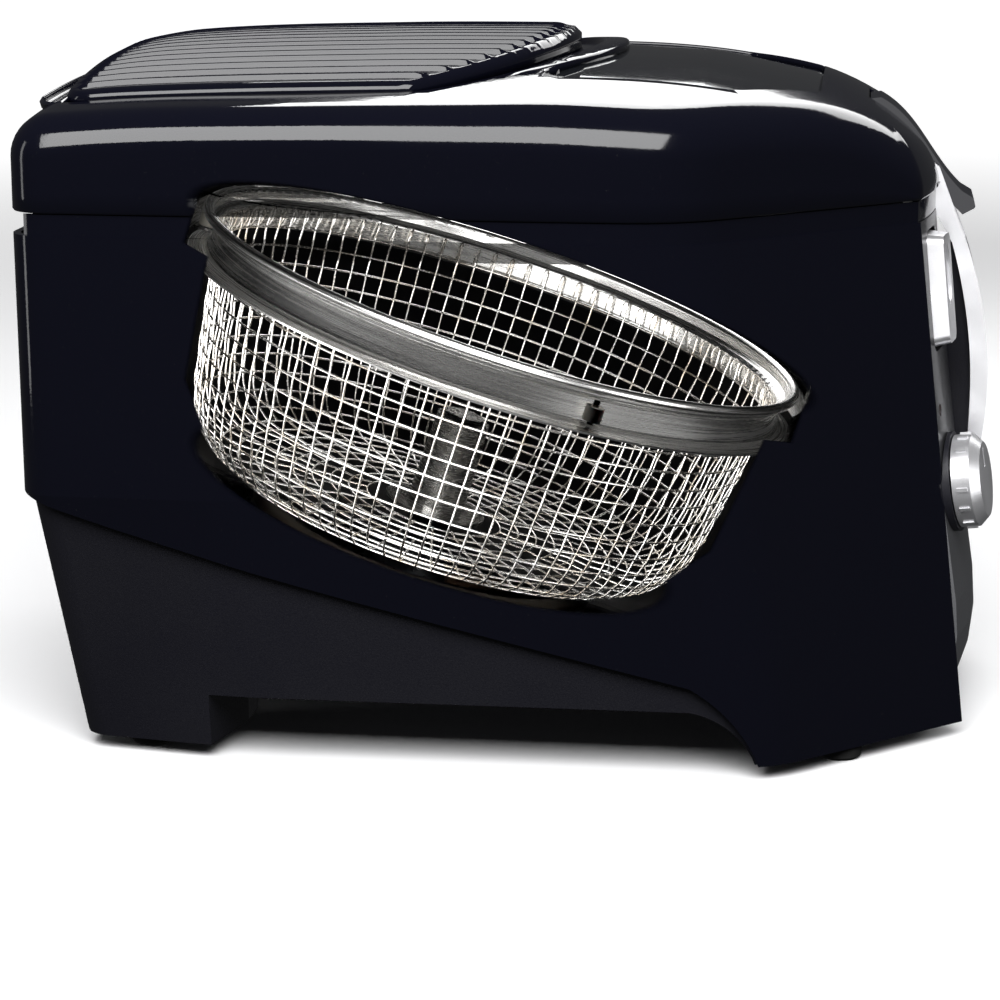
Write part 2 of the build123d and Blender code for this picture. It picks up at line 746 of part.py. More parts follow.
# ---- Lid ----------------------------------------------------------------------------------
COVER = {"half": 110.0, "rear": 184.0, "side": 42.0, "nose": -17.0}
COVER_LINE = [(215, 268, 260), (184, 279, 268), (150, 285.5, 271), (60, 289, 274), (-10, 289.5, 275),
              (-40, 289, 275)]
WINDOW = {"half": 99.0, "front": -122.0, "gap": 20.0}


def cover_face(grow, z):
    """Plan of the filter cover, a rectangle with a bowed front, grown on every side."""
    with BuildSketch(Plane.XY.offset(z)) as sketch:
        with BuildLine():
            half, rear, side, nose = COVER["half"], COVER["rear"], COVER["side"], COVER["nose"]
            Polyline((-half, side), (-half, rear), (half, rear), (half, side))
            ThreePointArc((half, side), (0, nose), (-half, side))
        make_face()
        fillet(sketch.vertices(), radius=13)
        if grow:
            offset(amount=grow)
    return sketch.sketch


def cover_block(grow, low, high):
    with BuildPart() as body:
        add(cover_face(grow, low))
        extrude(amount=high - low)
    return body.part


def window_block(grow, low=LID_Z, high=LID_LIMIT):
    """Window area in front of the filter cover: its rear edge follows the cover's bow."""
    half, front = WINDOW["half"], WINDOW["front"]
    with BuildPart() as body:
        with BuildSketch(Plane.XY.offset(low)) as sketch:
            with BuildLine():
                rear_side, rear_mid = COVER["side"] - 34, COVER["nose"] - WINDOW["gap"]
                ThreePointArc((-half, rear_side), (0, rear_mid), (half, rear_side))
                Line((half, rear_side), (half, front + 34))
                Line((half, front + 34), (half - 34, front))
                Line((half - 34, front), (-half + 34, front))
                Line((-half + 34, front), (-half, front + 34))
                Line((-half, front + 34), (-half, rear_side))
            make_face()
            fillet(sketch.vertices(), radius=12)
            if grow:
                offset(amount=grow)
        extrude(amount=high - low)
    return body.part


def nose_notch():
    """Notch in the lid for the handle bracket."""
    return block((-NOTCH_HALF, NOTCH_HALF), (-FAR, NOTCH_Y), (0, FAR))


def lid_hollow():
    """Space inside the lid's skin, lowered with it round the filter cover."""
    with BuildPart() as hollow:
        add(lid_block(LID_WALL, LID_Z - 1))
        add(crown(LID_WALL), mode=Mode.INTERSECT)
        add(cover_recess(LID_WALL), mode=Mode.SUBTRACT)
    return hollow.part


def cover_recess(wall=0.0):
    """What the shallow recess round the filter cover takes off the lid's crown."""
    with BuildPart() as recess:
        add(cover_block(COLLAR + wall, LID_Z, LID_LIMIT))
        add(crown(RECESS + wall), mode=Mode.SUBTRACT)
    return recess.part


def lid_shell():
    with BuildPart() as shell:
        add(lid_block())
        add(crown(), mode=Mode.INTERSECT)
        add(cover_recess(), mode=Mode.SUBTRACT)
        add(lid_hollow(), mode=Mode.SUBTRACT)
        add(cover_block(-7, LID_Z, LID_LIMIT), mode=Mode.SUBTRACT)
        add(window_block(0), mode=Mode.SUBTRACT)
        add(nose_notch(), mode=Mode.SUBTRACT)
        # Hinge lugs.
        for side in (-1, 1):
            span = sorted((side * 44.6, side * 75.4))
            add(rod(KNUCKLE, HINGE_Y, HINGE_Z, *span))
            add(block(span, (HINGE_Y - 3.5, HINGE_Y + 3.5), (HINGE_Z, HINGE_Z + 12)))
        add(rod(HINGE_PIN + 0.06, HINGE_Y, HINGE_Z, -150, 150), mode=Mode.SUBTRACT)
    return shell


def lid_liner():
    """Heat-proof inner skin that hangs inside the lid."""
    with BuildPart() as hollow:
        add(lid_block(15.6, 231))
        add(crown(15.6), mode=Mode.INTERSECT)
    with BuildPart() as liner:
        add(lid_block(14, 232))
        add(crown(14), mode=Mode.INTERSECT)
        add(hollow.part, mode=Mode.SUBTRACT)
        add(window_block(-10), mode=Mode.SUBTRACT)
        add(block((-NOTCH_HALF - 3, NOTCH_HALF + 3), (-FAR, NOTCH_Y + 3), (0, FAR)), mode=Mode.SUBTRACT)
        # Steam holes under the filters.
        with BuildSketch(Plane.XY.offset(240)):
            with Locations((0, 100)):
                with GridLocations(16, 16, 9, 7):
                    Circle(4)
        extrude(amount=60, mode=Mode.SUBTRACT)
    return liner


def lid_window():
    with BuildPart() as glass:
        add(window_block(3))
        add(crown(LID_WALL + 0.3), mode=Mode.INTERSECT)
        add(crown(LID_WALL + 4.3), mode=Mode.SUBTRACT)
    return glass


def lid_gasket():
    """Silicone seal that the lid presses on the bowl's flange."""
    low, high = FRAME_TOP + 1.6, 231.6
    with BuildPart() as seal:
        add(turned([(BOWL_RADIUS + 1, 0), (BOWL_RADIUS + 4.6, 0), (BOWL_RADIUS + 4.6, 190), (BOWL_RADIUS + 1, 190)]))
        add(slab(low, high), mode=Mode.INTERSECT)
        add(block((-NOTCH_HALF - 3, NOTCH_HALF + 3), (-FAR, -100), (0, FAR)), mode=Mode.SUBTRACT)
    return seal


def lid_catch():
    """Hook under the lid's nose that reaches down to the release button."""
    with BuildPart() as catch:
        add(side_profile([(-163, 240), (-163, 212), (-160, 212), (-156.5, 216), (-160, 219), (-160, 240)],
                         -LATCH_X - 3, -LATCH_X + 3))
        add(lid_hollow(), mode=Mode.INTERSECT)
        add(side_profile([(-163, 226), (-163, 212), (-160, 212), (-156.5, 216), (-160, 219), (-160, 226)],
                         -LATCH_X - 3, -LATCH_X + 3))
    return catch


def filter_pad(inset, top, bottom):
    """A filter mat that follows the lid's crown."""
    with BuildPart() as pad:
        add(cover_block(-inset, 240, LID_LIMIT))
        add(crown(top), mode=Mode.INTERSECT)
        add(crown(bottom), mode=Mode.SUBTRACT)
    return pad


def cover_dome(drop):
    """Everything below the filter cover's own domed top, lowered by drop."""
    half = COVER["half"] + 15
    with BuildPart() as body:
        for y, middle, edge in COVER_LINE:
            side = edge - 2 * 15 * (middle - edge) / COVER["half"] - drop
            with BuildSketch(Plane(origin=(0, y, 0), x_dir=(1, 0, 0), z_dir=(0, -1, 0))):
                with BuildLine():
                    ThreePointArc((-half, side), (0, middle - drop), (half, side))
                    Polyline((half, side), (half, 220), (-half, 220), (-half, side))
                make_face()
        loft(ruled=True)
    return body.part


def filter_cover():
    """Domed cover over the filters. Its vent slots stop short of the edge."""
    with BuildPart() as hollow:
        add(cover_block(-2.4, 250, LID_LIMIT))
        add(cover_dome(2.4), mode=Mode.INTERSECT)
    with BuildPart() as slots:
        with BuildSketch(Plane.XY.offset(250)):
            with Locations((0, 80)):
                with GridLocations(12.6, 0, 15, 1):
                    Rectangle(2.4, 260)
            add(cover_face(-10, 0), mode=Mode.INTERSECT)
        extrude(amount=60)
    with BuildPart() as cover:
        add(cover_block(0, 255, LID_LIMIT))
        add(cover_dome(0), mode=Mode.INTERSECT)
        add(crown(RECESS - 0.3), mode=Mode.SUBTRACT)
        add(hollow.part, mode=Mode.SUBTRACT)
        add(slots.part, mode=Mode.SUBTRACT)
    return cover


# ---- Basket -------------------------------------------------------------------------------
def basket_rim():
    """Pressed steel ring: outward flange, upright band and rolled bead."""
    with BuildPart() as rim:
        with BuildSketch(PROFILE_PLANE):
            with BuildLine():
                FilletPolyline((FLANGE_RADIUS, 0.3), (FLANGE_RADIUS - 3, 1.4), (BAND_RADIUS + 0.8, 2.0),
                               (BAND_RADIUS - 0.6, RIM_HEIGHT - 6.0), (BAND_RADIUS + 3.2, RIM_HEIGHT - 4.6),
                               (BAND_RADIUS + 3.4, RIM_HEIGHT - 1.0), radius=(2, 2, 1.2, 1.2))
            trace(line_width=1.0)
            with Locations((BEAD_RADIUS - 2.2, RIM_HEIGHT - 0.6)):
                Circle(2.2)
        revolve(axis=BASKET_AXIS)
    return rim


def basket_mesh():
    """Wire cloth bucket, drawn as a thin closed wall of the same size."""
    with BuildPart() as mesh:
        with BuildSketch(PROFILE_PLANE):
            with BuildLine():
                FilletPolyline((MESH_RADIUS - 0.2, 9), (MESH_RADIUS - 0.2, 0), (118.5, -60), (100, MESH_FLOOR),
                               (12.9, MESH_FLOOR), radius=(8, 20, 26))
            trace(line_width=1.4)
        revolve(axis=BASKET_AXIS)
    return mesh


def basket_hub():
    """Socket over the bowl's tower, with a hexagon for the spindle."""
    with BuildPart() as hub:
        with BuildSketch(PROFILE_PLANE):
            with BuildLine():
                Polyline((10.4, MESH_FLOOR - 1.5), (12.0, MESH_FLOOR - 1.5), (12.0, MESH_FLOOR + 1.1),
                         (23, MESH_FLOOR + 1.1), (23, MESH_FLOOR + 2.5), (13, MESH_FLOOR + 3.5), (12, TOWER_TOP + 10),
                         (9, TOWER_TOP + 12), (0, TOWER_TOP + 12), (0, TOWER_TOP + 3.4), (10.4, TOWER_TOP + 3.4),
                         close=True)
            make_face()
        revolve(axis=BASKET_AXIS)
        with BuildSketch(BASKET_PLANE.offset(TOWER_TOP + 3)):
            RegularPolygon(HEX_FLATS / 2 + 0.25, 6, major_radius=False)
        extrude(amount=6.6, mode=Mode.SUBTRACT)
    return hub


# ---- Carrier and handle -------------------------------------------------------------------
ARM_TOP = 122.2  # height of the carrier's front arm along the tilted axis


def carrier():
    """Ring round the basket rim with a bracket for each roller and an arm up the front."""
    with BuildPart() as frame:
        add(turned([(140.4, 4), (142.2, 4), (142.2, 16), (140.4, 16)]))
        for angle in ROLLER_ANGLES.values():
            for level in (3.0, 11.5):
                with BuildSketch(BASKET_PLANE.offset(level)):
                    with Locations(Location((0, 0, 0), (0, 0, angle))):
                        with Locations((136.4, 0)):
                            Rectangle(10.4, 9)
                        with Locations((BAND_RADIUS + ROLLER_RADIUS + ROLLER_GAP, 0)):
                            Circle(1.3, mode=Mode.SUBTRACT)
                extrude(amount=1.4)
        with BuildSketch(BASKET_PLANE.offset(4)):
            with Locations((0, -141.0)):
                Rectangle(32, 1.8)
        extrude(amount=ARM_TOP - 4)
    return frame


def roller_place(angle):
    radius = BAND_RADIUS + ROLLER_RADIUS + ROLLER_GAP
    return (radius * math.cos(math.radians(angle)), radius * math.sin(math.radians(angle)))


def roller(angle):
    with BuildPart() as wheel:
        with BuildSketch(BASKET_PLANE.offset(4.9)):
            with Locations(roller_place(angle)):
                Circle(ROLLER_RADIUS)
                Circle(1.36, mode=Mode.SUBTRACT)
        extrude(amount=6.1)
    return wheel


def roller_axles():
    with BuildPart() as axles:
        for angle in ROLLER_ANGLES.values():
            with BuildSketch(BASKET_PLANE.offset(2.6)):
                with Locations(roller_place(angle)):
                    Circle(1.3)
            extrude(amount=10.8)
    return axles


def handle_bracket():
    """Black lever on top of the carrier's arm. It fills the notch in the lid's nose."""
    y, z = HANDLE_PIVOT
    with BuildPart() as bracket:
        with BuildSketch(Plane.YZ.offset(-16)):
            with BuildLine():
                Polyline((-145.3, 228.2), (-141.6, 229.5), (-141.6, 262), (-146, 262.6))
                Spline((-146, 262.6), (-158, 253), (-172, 234), (-181, 223.5))
                Polyline((-181, 223.5), (-186, 220.5), (-187, 216.5), (-181.5, 213.5), (-176, 219),
                         (-170, 227.4), (-160, 227.6), (-145.3, 228.2))
            make_face()
        extrude(amount=32)
        add(rod(2.5, y, z, -30, 30), mode=Mode.SUBTRACT)
        fillet(bracket.edges().filter_by(Axis.X).group_by(Axis.Y)[0], radius=1.2)
    return bracket


def handle_pin():
    with BuildPart() as pin:
        add(rod(2.5, *HANDLE_PIVOT, -21.4, 21.4))
    return pin


def handle_side(outer, inner):
    """Closed side view of part of the handle from two bowed lines."""
    with BuildLine() as side:
        Spline(*outer)
        Line(outer[-1], inner[-1])
        Spline(*inner)
        Line(inner[0], outer[0])
    return side.edges()


GRIP_OUTER = [(-184.5, 200), (-190.5, 178), (-194.3, 148), (-192.8, 118), (-189.5, 101)]
GRIP_MIDDLE = [(-177.5, 202), (-183.2, 179), (-187.0, 148), (-186.8, 118), (-186.0, 102)]
GRIP_BACK = [(-172.0, 200), (-172.2, 179), (-174.5, 150), (-179.5, 120), (-183.6, 104)]


def handle_trim():
    """Silver outer bow of the handle with its two fork arms."""
    y, z = HANDLE_PIVOT
    low, high = HANDLE_ARM_X
    with BuildPart() as trim:
        with BuildSketch(Plane.YZ.offset(-high)):
            make_face(handle_side(GRIP_OUTER, GRIP_MIDDLE))
        extrude(amount=2 * high)
        arm = [(y - 5.2, z + 2), (y - 1, z + 5.2), (y + 4, z + 3.5), (y + 5.2, z - 2), GRIP_MIDDLE[0], GRIP_OUTER[0]]
        for side in (-1, 1):
            add(side_profile(arm, *sorted((side * low, side * high))))
        add(rod(2.56, y, z, -30, 30), mode=Mode.SUBTRACT)
    return trim


def handle_grip():
    """Black core of the handle that lies in the channel when it is folded."""
    with BuildPart() as grip:
        with BuildSketch(Plane.YZ.offset(-16.4)):
            make_face(handle_side([(y + 0.05, z) for y, z in GRIP_MIDDLE], GRIP_BACK))
        extrude(amount=32.8)
    return grip


# ---- Build --------------------------------------------------------------------------------
save(outer_casing(), "outer_casing")
save(base_tray(), "base_tray")
save(base_screws(), "base_screws")
save(rubber_feet(), "rubber_feet")
save(front_panel(), "front_panel")
save(handle_channel(), "handle_channel")
save(drain_door(), "drain_door")
save(drain_door_pin(), "drain_door_pin")
save(drain_pipe(), "drain_pipe")
save(drain_cap(), "drain_cap")
save(rim_frame(), "rim_frame")
save(hinge_pins(), "hinge_pins")
save(bowl(), "bowl")
save(heating_element(), "heating_element")
save(element_terminals(), "element_terminals")
save(heat_shield(), "heat_shield")
save(spindle_motor(), "spindle_motor")
save(motor_screws(), "motor_screws")
save(drive_spindle(), "drive_spindle")
save(knob_bezel(), "knob_bezel")
save(thermostat_knob(), "thermostat_knob")
save(thermostat(), "thermostat")
save(thermostat_probe(), "thermostat_probe")
save(thermal_fuse(), "thermal_fuse")
save(indicator_lamp(), "indicator_lamp")
save(release_button(), "release_button")
save(button_spring(), "button_spring")
save(button_guide(), "button_guide")
save(power_inlet(), "power_inlet")
save(terminal_block(), "terminal_block")
save(lid_shell(), "lid_shell")
save(lid_liner(), "lid_liner")
save(lid_window(), "lid_window")
save(lid_gasket(), "lid_gasket")
save(lid_catch(), "lid_catch")
save(filter_pad(8, 4.0, 8.5), "odour_filter")
save(filter_pad(8, 8.8, 13.6), "grease_filter")
save(filter_cover(), "filter_cover")
save(basket_rim(), "basket_rim")
save(basket_mesh(), "basket_mesh")
save(basket_hub(), "basket_hub")
save(carrier(), "carrier")
for place, angle in ROLLER_ANGLES.items():
    save(roller(angle), f"roller_{place}")
save(roller_axles(), "roller_axles")
save(handle_bracket(), "handle_bracket")
save(handle_pin(), "handle_pin")
save(handle_trim(), "handle_trim")
save(handle_grip(), "handle_grip")
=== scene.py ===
"""Studio scene of the deep fryer: gloss black casing, woven wire basket, soft white light."""

import math
import random

import bmesh
import bpy
from mathutils import Matrix, Vector
from mathutils.geometry import delaunay_2d_cdt


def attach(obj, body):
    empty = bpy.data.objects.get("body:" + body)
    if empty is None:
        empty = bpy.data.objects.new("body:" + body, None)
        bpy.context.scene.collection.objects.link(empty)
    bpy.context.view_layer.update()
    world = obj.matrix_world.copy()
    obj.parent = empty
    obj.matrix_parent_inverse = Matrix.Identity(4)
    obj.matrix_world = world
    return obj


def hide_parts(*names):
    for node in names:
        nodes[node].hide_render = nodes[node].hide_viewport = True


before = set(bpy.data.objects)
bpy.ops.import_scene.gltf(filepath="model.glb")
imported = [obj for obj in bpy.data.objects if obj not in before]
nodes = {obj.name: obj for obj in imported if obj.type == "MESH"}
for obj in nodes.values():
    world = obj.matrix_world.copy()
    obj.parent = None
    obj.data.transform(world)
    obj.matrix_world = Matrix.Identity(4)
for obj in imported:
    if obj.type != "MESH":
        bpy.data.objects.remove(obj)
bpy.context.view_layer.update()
random.seed(7)

MM = 0.001

# ---- Sizes shared with the CAD source, in millimetres ---------------------------------------
LID_Z = 226.0
LID_WALL = 2.6
CREASE_X = 70.0
CORNERS = [(-154, 196), (-155, 110), (-155, -68), (-CREASE_X, -163)]
CORNER_RADII = (16, 400, 60)
NOSE = -172.0
CROWN_LINE = [(215, 269, 259), (150, 273, 265), (80, 275.5, 267), (20, 280.5, 267), (-25, 284, 266.5),
              (-75, 281.5, 263), (-118, 273, 255), (-140, 264, 247), (-158, 251, 237), (-180, 226, 214)]
CROWN_HALF = 155.0
SHOULDER = 15.0
COVER_HALF, COVER_REAR, COVER_SIDE, COVER_NOSE = 110.0, 184.0, 42.0, -17.0
COVER_CORNER = 13.0
COVER_LINE = [(215, 268, 260), (184, 279, 268), (150, 285.5, 271), (60, 289, 274), (-10, 289.5, 275),
              (-40, 289, 275)]
COLLAR = 10.0
RECESS = 3.0
WINDOW_HALF, WINDOW_FRONT, WINDOW_GAP = 99.0, -122.0, 20.0
NOTCH_HALF, NOTCH_Y = 22.0, -141.0
NOSE_STEPS, COVER_STEPS, WINDOW_STEPS = 36, 44, 30  # straight parts of each bowed edge
WINDOW_CHAMFER, WINDOW_CORNER = 34, 12

TILT = math.radians(18.0)
AXIS_POINT = Vector((0, 22.0, 155.0))

# ---- Camera: a side view from -X, a little towards the front and from above -------------------
VIEW_AZ, VIEW_EL = math.radians(-83.0), math.radians(13.0)
VIEW_DISTANCE = 1.32
VIEW_TARGET = Vector((0.0, 0.018, 0.080))
VIEW_BACK = Vector((math.sin(VIEW_AZ) * math.cos(VIEW_EL), -math.cos(VIEW_AZ) * math.cos(VIEW_EL),
                    math.sin(VIEW_EL)))
VIEW_LENS, VIEW_SENSOR = 106.2, 36.0
EYE = VIEW_TARGET + VIEW_BACK * VIEW_DISTANCE


def make_camera():
    data = bpy.data.cameras.new("camera")
    data.lens = VIEW_LENS
    data.sensor_width = VIEW_SENSOR
    data.clip_end = 20.0
    camera = bpy.data.objects.new("camera", data)
    camera.location = EYE
    camera.rotation_euler = VIEW_BACK.to_track_quat("Z", "Y").to_euler()
    bpy.context.scene.collection.objects.link(camera)
    bpy.context.scene.camera = camera


# ---- Material kit -----------------------------------------------------------------------------
class Nodes:
    """Short names for building a node tree."""

    def __init__(self, name):
        self.material = bpy.data.materials.new(name)
        self.material.use_nodes = True
        self.tree = self.material.node_tree
        self.tree.nodes.clear()
        self.output = self.add("ShaderNodeOutputMaterial")
        self.place = self.add("ShaderNodeTexCoord").outputs["Object"]

    def add(self, kind, **settings):
        node = self.tree.nodes.new(kind)
        for key, value in settings.items():
            setattr(node, key, value)
        return node

    def link(self, start, end):
        self.tree.links.new(start, end)

    def put(self, value, socket):
        """A number or colour is set on the socket, and an output is linked to it."""
        if isinstance(value, bpy.types.NodeSocket):
            self.link(value, socket)
        elif isinstance(value, (tuple, list)) and len(value) == 3 and socket.type == "RGBA":
            socket.default_value = (*value, 1.0)
        else:
            socket.default_value = value

    def math(self, operation, a, b=0.0, c=0.0):
        node = self.add("ShaderNodeMath", operation=operation)
        for value, socket in zip((a, b, c), node.inputs):
            self.put(value, socket)
        return node.outputs[0]

    def scaled(self, scale):
        node = self.add("ShaderNodeMapping")
        self.link(self.place, node.inputs["Vector"])
        node.inputs["Scale"].default_value = scale
        return node.outputs[0]

    def noise(self, scale, detail=3.0, rough=0.5, vector=None):
        node = self.add("ShaderNodeTexNoise")
        self.link(vector or self.place, node.inputs["Vector"])
        node.inputs["Scale"].default_value = scale
        node.inputs["Detail"].default_value = detail
        node.inputs["Roughness"].default_value = rough
        return node.outputs["Fac"]

    def span(self, value, low, high, start=0.0, end=1.0, smooth=False):
        node = self.add("ShaderNodeMapRange", clamp=True)
        if smooth:
            node.interpolation_type = "SMOOTHSTEP"
        self.put(value, node.inputs["Value"])
        for key, number in (("From Min", start), ("From Max", end), ("To Min", low), ("To Max", high)):
            node.inputs[key].default_value = number
        return node.outputs["Result"]

    def blend(self, factor, a, b):
        node = self.add("ShaderNodeMix", data_type="RGBA")
        self.put(factor, node.inputs["Factor"])
        self.put(a, node.inputs["A"])
        self.put(b, node.inputs["B"])
        return node.outputs["Result"]

    def bump(self, height, strength, distance):
        node = self.add("ShaderNodeBump")
        self.put(height, node.inputs["Height"])
        node.inputs["Strength"].default_value = strength
        node.inputs["Distance"].default_value = distance
        return node.outputs["Normal"]

    def principled(self, **values):
        node = self.add("ShaderNodeBsdfPrincipled")
        for key, value in values.items():
            self.put(value, node.inputs[key.replace("_", " ")])
        return node

    def finish(self, shader, see_through=False):
        output = shader.outputs[0]
        if see_through:
            mix = self.add("ShaderNodeMixShader")
            clear = self.add("ShaderNodeBsdfTransparent")
            self.link(cutaway_mask(self), mix.inputs[0])
            self.link(output, mix.inputs[1])
            self.link(clear.outputs[0], mix.inputs[2])
            output = mix.outputs[0]
        self.link(output, self.output.inputs["Surface"])
        return self.material


# The cutaway: the near walls fade out inside the basket's outline as seen from EYE, a fixed point that is
# the place of the main camera. The mask stays on the same patch of the walls in every other view.
BASKET_TOP, BASKET_BOTTOM = 0.0195, -0.0850  # heights along the tilted axis, in metres
RIM_REACH, FLOOR_REACH = 0.1395, 0.108  # radii at those heights
# The wall's radius: the least one, then each widening with the heights between which it grows.
WALL_STEPS = [(0.104, 0.0, 0.0), (0.018, -0.085, -0.060), (0.006, -0.060, -0.006),
              (0.0115, -0.004, -0.001)]
CUT_SOFT = 0.0025
CUT_DEPTH = (-0.045, -0.020)


def cutaway_mask(n):
    """1 on the near walls in front of the basket, 0 elsewhere, with a soft edge."""
    split = n.add("ShaderNodeSeparateXYZ")
    n.link(n.place, split.inputs[0])
    x, y, z = split.outputs
    c, s = math.cos(TILT), math.sin(TILT)
    origin = AXIS_POINT * MM
    eye_y, eye_z = EYE.y - origin.y, EYE.z - origin.z
    eye_v, eye_h = eye_y * c + eye_z * s, eye_z * c - eye_y * s
    dy, dz = n.math("SUBTRACT", y, origin.y), n.math("SUBTRACT", z, origin.z)
    v = n.math("MULTIPLY_ADD", dy, c, n.math("MULTIPLY", dz, s))
    h = n.math("SUBTRACT", n.math("MULTIPLY", dz, c), n.math("MULTIPLY", dy, s))
    # The sight line in the tilted frame, and its nearest point to the axis.
    run_x, run_v, run_h = (n.math("SUBTRACT", a, b) for a, b in ((x, EYE.x), (v, eye_v), (h, eye_h)))
    square = n.math("MULTIPLY_ADD", run_x, run_x, n.math("MULTIPLY", run_v, run_v))
    cross = n.math("SUBTRACT", n.math("MULTIPLY", run_v, EYE.x), n.math("MULTIPLY", run_x, eye_v))
    nearest = n.math("DIVIDE", n.math("ABSOLUTE", cross), n.math("SQRT", square))
    along = n.math("DIVIDE", n.math("MULTIPLY_ADD", run_x, EYE.x, n.math("MULTIPLY", run_v, eye_v)), square)
    level = n.math("SUBTRACT", eye_h, n.math("MULTIPLY", along, run_h))
    reach = WALL_STEPS[0][0]
    for rise, low, high in WALL_STEPS[1:]:
        reach = n.math("ADD", reach, n.span(level, 0.0, rise, low, high))
    wall = n.span(n.math("SUBTRACT", nearest, reach), 1.0, 0.0, 0.0, CUT_SOFT, smooth=True)
    wall = n.math("MULTIPLY", wall, n.span(level, 0.0, 1.0, BASKET_BOTTOM - CUT_SOFT, BASKET_BOTTOM))
    wall = n.math("MULTIPLY", wall, n.span(level, 1.0, 0.0, BASKET_TOP, BASKET_TOP + CUT_SOFT))
    inside = wall
    for height, radius in ((BASKET_TOP, RIM_REACH), (BASKET_BOTTOM, FLOOR_REACH)):
        share = n.math("DIVIDE", n.math("SUBTRACT", height, eye_h), run_h)
        at_x = n.math("MULTIPLY_ADD", share, run_x, EYE.x)
        at_v = n.math("MULTIPLY_ADD", share, run_v, eye_v)
        away = n.math("SQRT", n.math("MULTIPLY_ADD", at_x, at_x, n.math("MULTIPLY", at_v, at_v)))
        disc = n.span(away, 1.0, 0.0, radius, radius + 3 * CUT_SOFT, smooth=True)
        inside = n.math("MAXIMUM", inside, disc)
    near = n.span(x, 1.0, 0.0, *CUT_DEPTH, smooth=True)
    return n.math("MULTIPLY", inside, near)


def gloss_black(name="gloss_black", see_through=False):
    """Injection moulded high-gloss black with faint orange peel and handling haze."""
    n = Nodes(name)
    haze = n.noise(9.0, 4.0, 0.6)
    peel = n.noise(420.0, 2.0, 0.5)
    dust = n.span(n.noise(900.0, 2.0, 0.7), 0.0, 1.0, 0.70, 0.78)
    colour = n.blend(dust, (0.0025, 0.0027, 0.006), (0.012, 0.012, 0.014))
    rough = n.span(haze, 0.05, 0.13, 0.35, 0.7)
    shader = n.principled(Base_Color=colour, Roughness=rough, IOR=1.46, Specular_IOR_Level=0.5,
                          Normal=n.bump(peel, 0.05, 0.0004))
    return n.finish(shader, see_through)


def matte_black(name="matte_black", see_through=False):
    """Spark-textured matt black plastic."""
    n = Nodes(name)
    grain = n.noise(1400.0, 3.0, 0.65)
    broad = n.noise(14.0, 3.0, 0.5)
    colour = n.blend(broad, (0.004, 0.004, 0.008), (0.009, 0.009, 0.012))
    shader = n.principled(Base_Color=colour, Roughness=n.span(grain, 0.38, 0.55, 0.3, 0.7),
                          Specular_IOR_Level=0.35, Normal=n.bump(grain, 0.25, 0.0004))
    return n.finish(shader, see_through)


PANEL_FADE = (0.07, 0.20)  # heights between which the front panel darkens, in metres


def satin_panel():
    """Charcoal metallic lacquer of the front panel, darker towards the top."""
    n = Nodes("satin_panel")
    flake = n.noise(2600.0, 2.0, 0.7)
    broad = n.noise(7.0, 3.0, 0.5)
    height = n.add("ShaderNodeSeparateXYZ")
    n.link(n.place, height.inputs[0])
    low = n.blend(broad, (0.075, 0.077, 0.083), (0.105, 0.107, 0.113))
    base = n.blend(n.span(height.outputs[2], 0.0, 1.0, *PANEL_FADE, smooth=True), low, (0.012, 0.012, 0.014))
    colour = n.blend(n.span(flake, 0.0, 0.35, 0.62, 0.8), base, (0.16, 0.16, 0.17))
    shader = n.principled(Base_Color=colour, Metallic=0.55, Roughness=n.span(flake, 0.30, 0.42, 0.3, 0.7),
                          Coat_Weight=0.35, Coat_Roughness=0.12, Normal=n.bump(flake, 0.06, 0.0002))
    return n.finish(shader)


def silver_lacquer(name="silver_lacquer", tone=0.62):
    """Silver painted plastic with fine flakes and rubbed patches."""
    n = Nodes(name)
    flake = n.noise(3000.0, 2.0, 0.75)
    rub = n.noise(60.0, 4.0, 0.6)
    colour = n.blend(flake, (tone * 0.82, tone * 0.82, tone * 0.85),
                     (tone * 1.12, tone * 1.12, tone * 1.14))
    shader = n.principled(Base_Color=colour, Metallic=0.8, Roughness=n.span(rub, 0.26, 0.40, 0.3, 0.7),
                          Coat_Weight=0.2, Coat_Roughness=0.2, Normal=n.bump(flake, 0.08, 0.0002))
    return n.finish(shader)


def turned_steel(name, see_through=False, tone=0.55, rough=(0.16, 0.34)):
    """Spun steel: fine scratches that run round the basket's axis."""
    n = Nodes(name)
    turn = n.add("ShaderNodeMapping", vector_type="POINT")
    n.link(n.place, turn.inputs["Vector"])
    turn.inputs["Location"].default_value = tuple(-(Matrix.Rotation(-TILT, 3, "X") @ (AXIS_POINT * MM)))
    turn.inputs["Rotation"].default_value = (-TILT, 0.0, 0.0)
    split = n.add("ShaderNodeSeparateXYZ")
    n.link(turn.outputs[0], split.inputs[0])
    radius = n.math("SQRT", n.math("ADD", n.math("MULTIPLY", split.outputs[0], split.outputs[0]),
                                   n.math("MULTIPLY", split.outputs[1], split.outputs[1])))
    angle = n.math("ARCTAN2", split.outputs[1], split.outputs[0])
    joined = n.add("ShaderNodeCombineXYZ")
    n.link(n.math("MULTIPLY", radius, 900.0), joined.inputs[0])
    n.link(n.math("MULTIPLY", angle, 1.2), joined.inputs[1])
    n.link(n.math("MULTIPLY", split.outputs[2], 900.0), joined.inputs[2])
    lines = n.noise(1.6, 3.0, 0.6, joined.outputs[0])
    cloud = n.noise(26.0, 4.0, 0.6)
    colour = n.blend(lines, (tone * 0.80, tone * 0.79, tone * 0.77), (tone * 1.15, tone * 1.14, tone * 1.12))
    colour = n.blend(n.span(cloud, 0.0, 0.35, 0.55, 0.8), colour, (tone * 0.72, tone * 0.66, tone * 0.58))
    shader = n.principled(Base_Color=colour, Metallic=1.0, Roughness=n.span(lines, *rough, 0.25, 0.75),
                          Normal=n.bump(lines, 0.10, 0.0002))
    return n.finish(shader, see_through)


